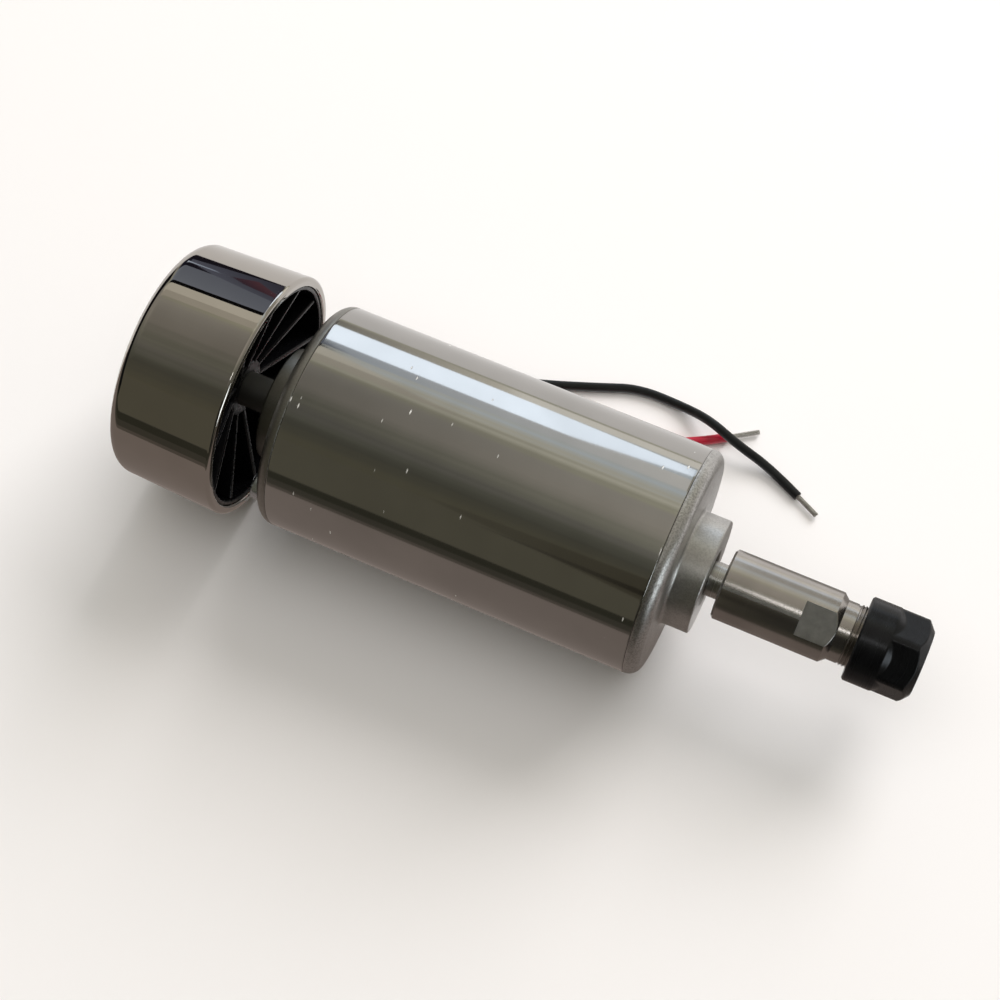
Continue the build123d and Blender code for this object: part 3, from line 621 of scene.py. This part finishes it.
# Through bolts, with a cross recess in each head
bolts = {"pitchRadius": 20.0, "headTop": -48.5, "seat": -45.7, "tip": 43.25, "headRadius": 3.5,
         "radius": 1.95, "recess": {"length": 4.2, "width": 1.15, "depth": 1.5, "taper": 0.55}}

corners = [
    (bolts["headTop"], 0),
    (bolts["headTop"], bolts["headRadius"], 1.0),
    (bolts["seat"], bolts["headRadius"], 0.15),
    (bolts["seat"], bolts["radius"]),
    (bolts["tip"], bolts["radius"]),
    (bolts["tip"], 0),
]
boltMesh = turnOutline("bolt", roundCorners(corners), 64)
recess = bolts["recess"]
cutters = []
for wide, tall in ((recess["length"], recess["width"]), (recess["width"], recess["length"])):
    work = bmesh.new()
    bmesh.ops.create_cube(work, size=1)
    for vertex in work.verts:
        narrow = recess["taper"] if vertex.co.x > 0 else 1.0    # the recess tapers inwards
        vertex.co = Vector((vertex.co.x * 2 * recess["depth"] + bolts["headTop"],
                            vertex.co.y * wide * narrow, vertex.co.z * tall * narrow)) * mm
    cutter = bpy.data.meshes.new("recess")
    work.to_mesh(cutter)
    work.free()
    cutters.append(cutter)
boltMesh = shifted(cutAway("bolt", boltMesh, cutters), bolts["pitchRadius"])
boltPair = growWith(roundTree, "bolt_pair", boltMesh, Count=2, FirstAngle=0.0,
                    Material=finishes["zinc_steel"])
addPiece("bolt_pair", boltPair, "motor", "through_bolts")

# Shaft, with a centre-drilled rear end
shaft = {"rear": -78.85, "front": 68.0, "radius": 4.0, "middleRadius": 5.0, "middle": 43.0, "chamfer": 0.4,
         "centreHole": (0.9, 0.8)}

outline = [
    (shaft["rear"] + shaft["centreHole"][1], 0),
    (shaft["rear"], shaft["centreHole"][0]),
    (shaft["rear"], shaft["radius"] - shaft["chamfer"]),
    (shaft["rear"] + shaft["chamfer"], shaft["radius"]),
    (-shaft["middle"], shaft["radius"]),
    (-shaft["middle"], shaft["middleRadius"]),
    (shaft["middle"], shaft["middleRadius"]),
    (shaft["middle"], shaft["radius"]),
    (shaft["front"] - shaft["chamfer"], shaft["radius"]),
    (shaft["front"], shaft["radius"] - shaft["chamfer"]),
    (shaft["front"], 0),
]
addPiece("shaft_bar", turnOutline("shaft_bar", outline, 128), "rotor", "rotor_shaft")

# Fan: a plated cup, a black moulded sleeve in it, and a hub with flat blades
fan = {
    "rim": -55.15, "rear": -81.0, "rimRadius": 28.5, "rearRadius": 27.5, "bore": 26.4, "rearWall": 1.6,
    "inlet": 19.0, "cornerRound": 3.0, "innerRound": 3.9, "lipRound": 0.9,
    "sleeve": {"front": -55.65, "rear": -75.4, "outer": 26.38, "inner": 25.4},
    "hub": {"front": -60.95, "rear": -77.8, "outer": 6.75, "bore": 4.02},
    "blade": {"count": 12, "firstAngle": 6.0, "thickness": 1.3, "edge": 0.32, "tip": 25.38, "front": -56.25,
              "rear": -79.3, "cornerCut": 3.9, "step": 17.4, "root": 5.4},
}

corners = [
    (fan["rear"], fan["inlet"], 0.4),
    (fan["rear"] + fan["rearWall"], fan["inlet"], 0.4),
    (fan["rear"] + fan["rearWall"], fan["bore"], fan["innerRound"]),
    (fan["rim"], fan["bore"], fan["lipRound"] / 2),
    (fan["rim"], fan["rimRadius"], fan["lipRound"]),
    (fan["rear"], fan["rearRadius"], fan["cornerRound"]),
]
addPiece("fan_cup", turnOutline("fan_cup", roundCorners(corners, 14), 360), "rotor", "fan_shell")

sleeve = fan["sleeve"]
corners = [(sleeve["rear"], sleeve["inner"], 0.2), (sleeve["front"], sleeve["inner"], 0.3),
           (sleeve["front"], sleeve["outer"], 0.3), (sleeve["rear"], sleeve["outer"], 0.2)]
addPiece("fan_ring", turnOutline("fan_ring", roundCorners(corners), 256), "rotor", "fan_sleeve")

hub = fan["hub"]
corners = [(hub["rear"], hub["bore"], 0.15), (hub["front"], hub["bore"], 0.3),
           (hub["front"], hub["outer"], 0.6), (hub["rear"], hub["outer"], 0.4)]
addPiece("fan_hub", turnOutline("fan_hub", roundCorners(corners), 128), "rotor", "fan_impeller")

blade = fan["blade"]
outline = [
    (hub["front"], blade["root"]),
    (hub["front"], hub["outer"]),
    (blade["front"], blade["tip"]),
    (blade["rear"] + blade["cornerCut"], blade["tip"]),
    (blade["rear"], blade["tip"] - blade["cornerCut"]),
    (blade["rear"], fan["inlet"]),
    (hub["rear"], blade["step"]),
    (hub["rear"], blade["root"]),
]
work = bmesh.new()
sides = [[work.verts.new((x * mm, r * mm, side * blade["thickness"] / 2 * mm)) for x, r in outline]
         for side in (-1, 1)]
work.faces.new(sides[0])
work.faces.new(sides[1])
for k in range(len(outline)):
    j = (k + 1) % len(outline)
    work.faces.new((sides[0][k], sides[0][j], sides[1][j], sides[1][k]))
bmesh.ops.recalc_face_normals(work, faces=work.faces)
bladeMesh = bpy.data.meshes.new("blade")
work.to_mesh(bladeMesh)
work.free()
base = newObject("bladeBlank", bladeMesh)
bevel = base.modifiers.new("edge", "BEVEL")
bevel.width = blade["edge"] * mm
bevel.segments = 3
bladeMesh = evaluated("blade", base)
bladeMesh.shade_smooth()
blades = growWith(roundTree, "fan_blades", bladeMesh, Count=blade["count"],
                  FirstAngle=math.radians(blade["firstAngle"]), Material=finishes["gloss_black_plastic"])
addPiece("fan_blades", blades, "rotor", "fan_impeller")
print("fan moulded")

# Collet chuck: a turned body with two flats, and a fine thread for the nut
chuck = {
    "rear": 54.35, "radius": 8.0, "rearChamfer": 0.5, "straightEnd": 78.95, "nose": 80.35,
    "neckRadius": 6.8, "front": 93.3, "frontChamfer": 0.3,
    "threadStart": 82.65, "threadRoot": 6.6, "threadRadius": 7.0,
    "pitch": 0.75, "threadMargin": 0.4, "flatStart": 72.25, "flatHalfWidth": 7.0, "flatAngle": 118.5,
    "mouth": 5.5, "cavity": (80.4, 79.0, 3.687), "passage": 2.75, "boreEnd": 68.4, "bore": 4.02,
}


def stations(start, end, count):
    return [(start[0] + (end[0] - start[0]) * k / count, start[1] + (end[1] - start[1]) * k / count)
            for k in range(count + 1)]


def evenAngles(count, *extra):
    angles = {round(2 * math.pi * k / count, 9) for k in range(count)}
    angles |= {round(math.radians(degrees) % (2 * math.pi), 9) for degrees in extra}
    return sorted(angles)


def chuckFlats(x, radius, angle):
    if x < chuck["flatStart"] + 0.005 or x > chuck["nose"] + 0.001 or radius < chuck["neckRadius"]:
        return radius
    across = abs(math.cos(angle - math.radians(chuck["flatAngle"])))
    return min(radius, chuck["flatHalfWidth"] / max(across, 0.01))


corners = [
    (chuck["rear"], chuck["bore"], 0.2),
    (chuck["rear"], chuck["radius"] - chuck["rearChamfer"]),
    (chuck["rear"] + chuck["rearChamfer"], chuck["radius"]),
    (chuck["flatStart"], chuck["radius"]),
    (chuck["flatStart"] + 0.01, chuck["radius"]),    # the flats start at a sharp step here
    *stations((chuck["flatStart"] + 0.6, chuck["radius"]), (chuck["straightEnd"], chuck["radius"]), 10),
    *stations((chuck["straightEnd"] + 0.1, chuck["radius"] - 0.086),
              (chuck["nose"], chuck["neckRadius"]), 14),
    (chuck["threadStart"], chuck["neckRadius"]),
    (chuck["threadStart"], chuck["threadRoot"]),
    (chuck["front"] - chuck["frontChamfer"], chuck["threadRoot"]),
    (chuck["front"], chuck["threadRoot"] - chuck["frontChamfer"]),
    (chuck["front"], chuck["mouth"]),
    (chuck["cavity"][0], chuck["cavity"][2]),
    (chuck["cavity"][1], chuck["cavity"][2]),
    (chuck["cavity"][1], chuck["passage"]),
    (chuck["boreEnd"], chuck["passage"]),
    (chuck["boreEnd"], chuck["bore"]),
]
edge = math.degrees(math.acos(chuck["flatHalfWidth"] / chuck["radius"]))
lines = [chuck["flatAngle"] + side + turn for side in (0, 180) for turn in (-edge, edge)]
chuckMesh = turnOutline("chuck_bar", roundCorners(corners), evenAngles(288, *lines), chuckFlats)
addPiece("chuck_bar", chuckMesh, "rotor", "chuck_body")
chuckMesh.materials.append(milledSteel)
flatWay = Vector((0, math.cos(math.radians(chuck["flatAngle"])), math.sin(math.radians(chuck["flatAngle"]))))
for face in chuckMesh.polygons:
    level = abs(face.normal.dot(flatWay)) > 0.999
    outermost = abs(face.center.dot(flatWay)) > (chuck["flatHalfWidth"] - 0.01) * mm
    face.material_index = 1 if level and outermost else 0

threadLength = chuck["front"] - chuck["threadStart"] - 2 * chuck["threadMargin"]
threadMesh = growWith(helixTree, "chuck_thread", bpy.data.meshes.new("none"), Count=1,
                      Turns=threadLength / chuck["pitch"], Length=threadLength * mm,
                      Radius=(chuck["threadRadius"] - chuck["pitch"] / 2) * mm,
                      Thickness=chuck["pitch"] / 2 * mm, Sides=4, Steps=96,
                      Material=finishes["turned_steel"])
threadPlace = Matrix.Translation(((chuck["threadStart"] + chuck["threadMargin"]) * mm, 0, 0))
threadMesh.transform(threadPlace @ Matrix.Rotation(math.pi / 2, 4, "Y"))
addPiece("chuck_thread", threadMesh, "rotor", "chuck_body")


def smoothCopy(name, mergeDistance=1e-7):
    # the CAD's own form, merged and smoothed
    mesh = nodes[name].data.copy()
    work = bmesh.new()
    work.from_mesh(mesh)
    bmesh.ops.remove_doubles(work, verts=work.verts, dist=mergeDistance)
    work.to_mesh(mesh)
    work.free()
    mesh.shade_smooth()
    return mesh


addPiece("collet_sleeve", smoothCopy("collet"), "collet", "collet")

# Brush springs: each rides on its brush
for side, inner in (("upper", 0), ("lower", 1)):
    spring = f"{side}_brush_spring"
    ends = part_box(spring)
    coil = addPiece(f"{side}_spring_coil", smoothCopy(spring), f"{side}_brush", spring)
    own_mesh(coil)
print("springs set")

# Collet nut: a round collar, then a hexagon whose flats run out on a cone
nut = {
    "rear": 84.75, "front": 99.25, "radius": 9.5, "rearChamfer": 0.4, "chamferLength": 1.9,
    "chamferHeight": 2.2, "flatRadius": 8.5, "flatAngle": 6.0, "collarEnd": 90.7, "runoutEnd": 93.3,
    "runoutMargin": 0.3, "soften": 0.16, "bore": 7.05, "boreChamfer": 0.4, "threadEnd": 93.9,
    "reliefRadius": 5.933, "lip": (95.35, 96.05, 5.0), "seat": (96.75, 5.25), "mouth": 3.8,
}


def softMin(a, b, width):
    near = max(width - abs(a - b), 0) / width
    return min(a, b) - near * near * width / 4


def nutFlats(x, radius, angle):
    if radius < nut["bore"] + nut["boreChamfer"] / 2:    # the thread and what lies deeper stay round
        return radius
    turn = math.degrees(angle) - nut["flatAngle"]
    offCentre = math.radians((turn + 30) % 60 - 30)
    hexagon = nut["flatRadius"] / math.cos(offCentre)
    share = min(max((x - nut["collarEnd"]) / (nut["runoutEnd"] - nut["collarEnd"]), 0), 1)
    margin = nut["runoutMargin"]
    runout = nut["radius"] + margin - share * (nut["radius"] - nut["flatRadius"] + 2 * margin)
    body = -softMin(-hexagon, -runout, nut["soften"])
    return softMin(radius, body, nut["soften"])


chamferStart = nut["front"] - nut["chamferLength"]
corners = [
    (nut["rear"], nut["bore"] + nut["boreChamfer"]),
    (nut["rear"], nut["radius"] - nut["rearChamfer"]),
    (nut["rear"] + nut["rearChamfer"], nut["radius"]),
    *stations((nut["rear"] + 1.0, nut["radius"]), (nut["collarEnd"] - 0.6, nut["radius"]), 6),
    *stations((nut["collarEnd"] - 0.4, nut["radius"]), (nut["runoutEnd"] + 0.4, nut["radius"]), 34),
    *stations((nut["runoutEnd"] + 0.7, nut["radius"]), (chamferStart - 0.3, nut["radius"]), 6),
    *stations((chamferStart, nut["radius"]), (nut["front"], nut["radius"] - nut["chamferHeight"]), 22),
    (nut["front"], nut["mouth"], 0.15),
    nut["seat"],
    (nut["lip"][1], nut["seat"][1]),
    (nut["lip"][1], nut["lip"][2]),
    (nut["lip"][0], nut["lip"][2]),
    (nut["lip"][0], nut["reliefRadius"]),
    (nut["threadEnd"], nut["reliefRadius"]),
    (nut["threadEnd"], nut["bore"]),
    (nut["rear"] + nut["boreChamfer"], nut["bore"]),
]
nutMesh = turnOutline("nut_form", roundCorners(corners), 480, nutFlats)
addPiece("nut_form", nutMesh, "collet_nut", "collet_nut")
print("chuck, collet and nut turned")

# Floor and light
size = floor["half"]
floorCorners = ((-size, -size), (size, -size), (size, size), (-size, size))
floorMesh = bpy.data.meshes.new("floor")
floorMesh.from_pydata([Vector((x, y, floorHeight(x))) * mm for x, y in floorCorners], [], [(0, 1, 2, 3)])
floorObject = newObject("floor", floorMesh)
floorMaterial = bpy.data.materials.new("paleFloor")
floorMaterial.use_nodes = True
floorShader = floorMaterial.node_tree.nodes["Principled BSDF"]
floorShader.inputs["Base Color"].default_value = linear(floor["colour"])
floorShader.inputs["Roughness"].default_value = floor["roughness"]
floorShader.inputs["Specular IOR Level"].default_value = 0.0
floorMesh.materials.append(floorMaterial)

# A plain pale wall stands round the floor's edge
wall = {"radius": 2450.0, "bottom": -120.0, "top": 1600.0, "sides": 96, "colour": "#DDDAD7"}
count = wall["sides"]
turns = [2 * math.pi * k / count for k in range(count)]
places = [(wall["radius"] * math.cos(turn), wall["radius"] * math.sin(turn)) for turn in turns]
wallPoints = [Vector((*place, z)) * mm for z in (wall["bottom"], wall["top"]) for place in places]
panels = [(k, (k + 1) % count, (k + 1) % count + count, k + count) for k in range(count)]
wallMesh = bpy.data.meshes.new("wall")
wallMesh.from_pydata(wallPoints, [], panels)
wallMaterial = bpy.data.materials.new("paleWall")
wallMaterial.use_nodes = True
wallTree = wallMaterial.node_tree
wallTree.nodes.clear()
wallGlow = addNode(wallTree, "ShaderNodeEmission", {"Color": linear(wall["colour"]), "Strength": 1.0})
addNode(wallTree, "ShaderNodeOutputMaterial", {"Surface": wallGlow.outputs[0]})
wallMesh.materials.append(wallMaterial)
wallObject = newObject("wall", wallMesh)
wallObject.visible_diffuse = wallObject.visible_glossy = wallObject.visible_shadow = False

lamps = {
    # a long window low on the far side, and large soft lamps above for the matt surfaces and the shadow
    "window": {"place": (158, 1000, 446), "aimX": 158, "size": (1.084, 0.48), "watts": 2.6,
               "colour": "#E4F0FF"},
    "key": {"place": (500, 2000, 1700), "aimX": 0, "size": (1.6, 1.6), "watts": 57.0, "colour": "#FFFCFB"},
    "fill": {"place": (-200, -300, 2500), "aimX": 0, "size": (3.0, 3.0), "watts": 29.0, "colour": "#FFFFFF"},
}
for name, lamp in lamps.items():
    light = bpy.data.lights.new(name, "AREA")
    light.shape = "RECTANGLE"
    light.size, light.size_y = lamp["size"]
    light.energy = lamp["watts"]
    light.color = linear(lamp["colour"])[:3]
    lightObject = newObject(name, light)
    lightObject.location = Vector(lamp["place"]) * mm
    aim = Vector((lamp["aimX"], 0, 0)) * mm
    lightObject.rotation_euler = (aim - lightObject.location).to_track_quat("-Z", "Y").to_euler()
    lightObject.visible_camera = lightObject.visible_glossy = False


# Cards and flags round the table, seen only as reflections in the metal.
# Each has its colour at the left end and at the right end, its strength and its corners.
def upright(y, left, right, lowLeft, highLeft, lowRight=None, highRight=None):
    lowRight, highRight = (lowLeft, highLeft) if lowRight is None else (lowRight, highRight)
    return [(left, y, lowLeft), (right, y, lowRight), (right, y, highRight), (left, y, highLeft)]


def flat(left, right, near, far, lift=0.5):
    corners = ((left, near), (right, near), (right, far), (left, far))
    return [(x, y, floorHeight(x) + lift) for x, y in corners]


cards = {
    # the window as the tube sees it, and what frames it
    "windowStrip": ("#E4F0FF", "#E4F0FF", 2.25, upright(1000, -410, -170, 206, 690, 206, 690)),
    "windowTaper": ("#E4F0FF", "#E4F0FF", 2.1, upright(1000, -170, -50, 206, 690, 255, 440)),
    "windowEnd": ("#E4F0FF", "#E8EEF4", 1.3, upright(1000, -50, 160, 255, 440, 285, 400)),
    "paleCard": ("#C4CEDA", "#F0EEE9", 1.0, upright(1004, -410, -20, 560, 960)),
    "paleCardEnd": ("#ABA79C", "#ABA79C", 1.0, upright(1004, -20, 700, 400, 960)),
    "sill": ("#3F3E39", "#EDE8DA", 1.0, upright(998, -410, -190, 35, 190, 45, 206)),
    "sillEnd": ("#F2EFE6", "#F4F0EA", 1.2, upright(998, -190, 700, 45, 206, 45, 250)),
    "tableFarSide": ("#F0EDEB", "#F0EDEB", 1.0, flat(-size, size, 26, size)),
    # what the cup sees
    "blueCard": ("#98A0AC", "#6C7180", 1.0, upright(1000, -900, -410, 330, 900)),
    "navyFlag": ("#262838", "#1E1A20", 1.0, upright(999, -900, -410, -30, 345)),
    "slateFlag": ("#666A7A", "#3C3A48", 1.0, upright(998, -512, -410, 140, 345, -30, 820)),
    "roseCard": ("#443440", "#62434C", 1.0, upright(997, -478, -446, 225, 300, 110, 430)),
    "streakCard": ("#D6E0EE", "#8E9AAE", 1.4, upright(996, -590, -492, 165, 235, 215, 240)),
    "blackLine": ("#0C0C0C", "#101010", 1.0, upright(998, -900, -440, 880, 1000)),
    "beigeCard": ("#DAD4C6", "#E0DBCE", 1.0, upright(1000, -1300, -440, 1000, 1380)),
    "sandCard": ("#BDB7AA", "#C4BEB1", 1.0, upright(1000, -1500, -440, 1380, 1800)),
    "rearFlag": ("#161618", "#161618", 1.0,
                 [(-900, 800, -25), (-900, -700, -25), (-900, -700, 230), (-900, 800, 520)]),
    # the camera's side, for the tube's front end, the chuck and the nut
    "oliveFlag": ("#5C594D", "#4A463A", 1.0, upright(-420, -110, 30, 300, 320, 150, 430)),
    "umberFlag": ("#57544A", "#1C160E", 1.0, upright(-419, -80, 30, 240, 244, 208, 272)),
    "darkFlag": ("#2B2A28", "#222222", 1.0, upright(-420, 34, 300, 0, 480)),
    "brightStrip": ("#FFFFFF", "#FFFFFF", 4.0,
                    [(46, -165, 600), (120, -165, 600), (120, -245, 600), (46, -245, 600)]),
    "sideCard": ("#E3ECF2", "#E3ECF2", 4.0,
                 [(700, -520, 60), (700, -140, 60), (700, -140, 320), (700, -520, 320)]),
    # the floor there, which darkens away from the table; the two strips beside the object are a painted
    # shadow
    # painted shadow: the object's shadow on the floor beside it, as the metal reflects it
    "nearFloor": ("#8D827C", "#8D827C", 1.0, flat(-size, 40, -15, -128)),
    "nearFloorFront": ("#7E746E", "#7E746E", 1.0, flat(40, size, -4, -78)),
    "chuckFarSide": ("#98938F", "#98938F", 1.0, flat(53, 140, 4, 70, lift=0.9)),
    "tableEdge": ("#625B54", "#625B54", 1.0, flat(-size, 40, -128, -155)),
    "floorBeyond": ("#4B4840", "#4B4840", 1.0, flat(-size, 40, -155, -260)),
    "floorFront": ("#45423B", "#3B3935", 1.0, flat(40, size, -78, -260)),
    "floorShade": ("#3B3A31", "#3B3A31", 1.0, flat(-size, size, -260, -1300)),
    "floorEnd": ("#55534A", "#55534A", 1.0, flat(-size, size, -1300, -size)),
    "duskCard": ("#646154", "#646154", 1.0, upright(-1400, -size, size, -30, 950)),
}
for name, (leftColour, rightColour, strength, corners) in cards.items():
    cardMesh = bpy.data.meshes.new(name)
    cardMesh.from_pydata([Vector(corner) * mm for corner in corners], [], [(0, 1, 2, 3)])
    card = newObject(name, cardMesh)
    paint = bpy.data.materials.new(name)
    paint.use_nodes = True
    tree = paint.node_tree
    tree.nodes.clear()
    ends = [corner[0] * mm for corner in corners]
    share = spread(tree, alongShaft(tree), 0, 1, min(ends), max(ends) + 0.001)
    tone = blendColours(tree, share, leftColour, rightColour)
    glow = addNode(tree, "ShaderNodeEmission", {"Color": tone, "Strength": strength})
    addNode(tree, "ShaderNodeOutputMaterial", {"Surface": glow.outputs[0]})
    cardMesh.materials.append(paint)
    card.visible_camera = card.visible_diffuse = card.visible_shadow = card.visible_transmission = False

# The room: brightest low on the window's side, and darker towards the camera's side
room = {
    "bright": (0, 0.866, 0.5),
    "streakSize": 0.07,
    "streakShift": 0.02,
    "overhead": {"height": (0.82, 0.94), "across": (-0.29, -0.08), "strength": (0.66, 1.25)},
    "colours": {0.0: "#3A3930", 0.08: "#59574A", 0.3: "#646152", 0.43: "#57564D", 0.49: "#65655B",
                0.56: "#78766F", 0.63: "#87867A", 0.75: "#A5A097", 0.86: "#A8A49C", 0.9: "#AEAC9A",
                0.94: "#D6D3C4", 1.0: "#DAE6F0"},
}
world = bpy.data.worlds.new("room")
bpy.context.scene.world = world
world.use_nodes = True
tree = world.node_tree
way = addNode(tree, "ShaderNodeTexCoord").outputs["Generated"]
facing = addNode(tree, "ShaderNodeVectorMath", {0: way, 1: room["bright"]}, operation="DOT_PRODUCT")
across = addNode(tree, "ShaderNodeVectorMath", {0: way, 1: (0.05, 1, 1)}, operation="MULTIPLY").outputs[0]
streaks = addNode(tree, "ShaderNodeTexNoise", {"Vector": across, "Scale": 1 / room["streakSize"],
                                               "Detail": 1.0})
shift = spread(tree, streaks.outputs["Fac"], -room["streakShift"], room["streakShift"])
share = addNode(tree, "ShaderNodeMath", {0: facing.outputs["Value"], 1: 0.5, 2: 0.5},
                operation="MULTIPLY_ADD")
share = addNode(tree, "ShaderNodeMath", {0: share.outputs[0], 1: shift}, operation="ADD")
ramp = addNode(tree, "ShaderNodeValToRGB", {"Fac": share.outputs[0]})
stops = ramp.color_ramp.elements
stops.remove(stops[1])
for k, (at, colour) in enumerate(room["colours"].items()):
    stop = stops[0] if k == 0 else stops.new(at)
    stop.position = at
    stop.color = linear(colour)
tree.links.new(ramp.outputs["Color"], tree.nodes["Background"].inputs["Color"])
# overhead it is brighter towards the tool end
parts = addNode(tree, "ShaderNodeSeparateXYZ", {"Vector": way})
above = spread(tree, parts.outputs["Z"], 0, 1, *room["overhead"]["height"])
gain = spread(tree, parts.outputs["X"], *room["overhead"]["strength"], *room["overhead"]["across"])
gain = addNode(tree, "ShaderNodeMath", {0: gain, 1: 1.0}, operation="SUBTRACT")
gain = addNode(tree, "ShaderNodeMath", {0: gain.outputs[0], 1: above, 2: 1.0}, operation="MULTIPLY_ADD")
tree.links.new(gain.outputs[0], tree.nodes["Background"].inputs["Strength"])
bpy.context.scene.view_settings.view_transform = "Standard"
print("light set")
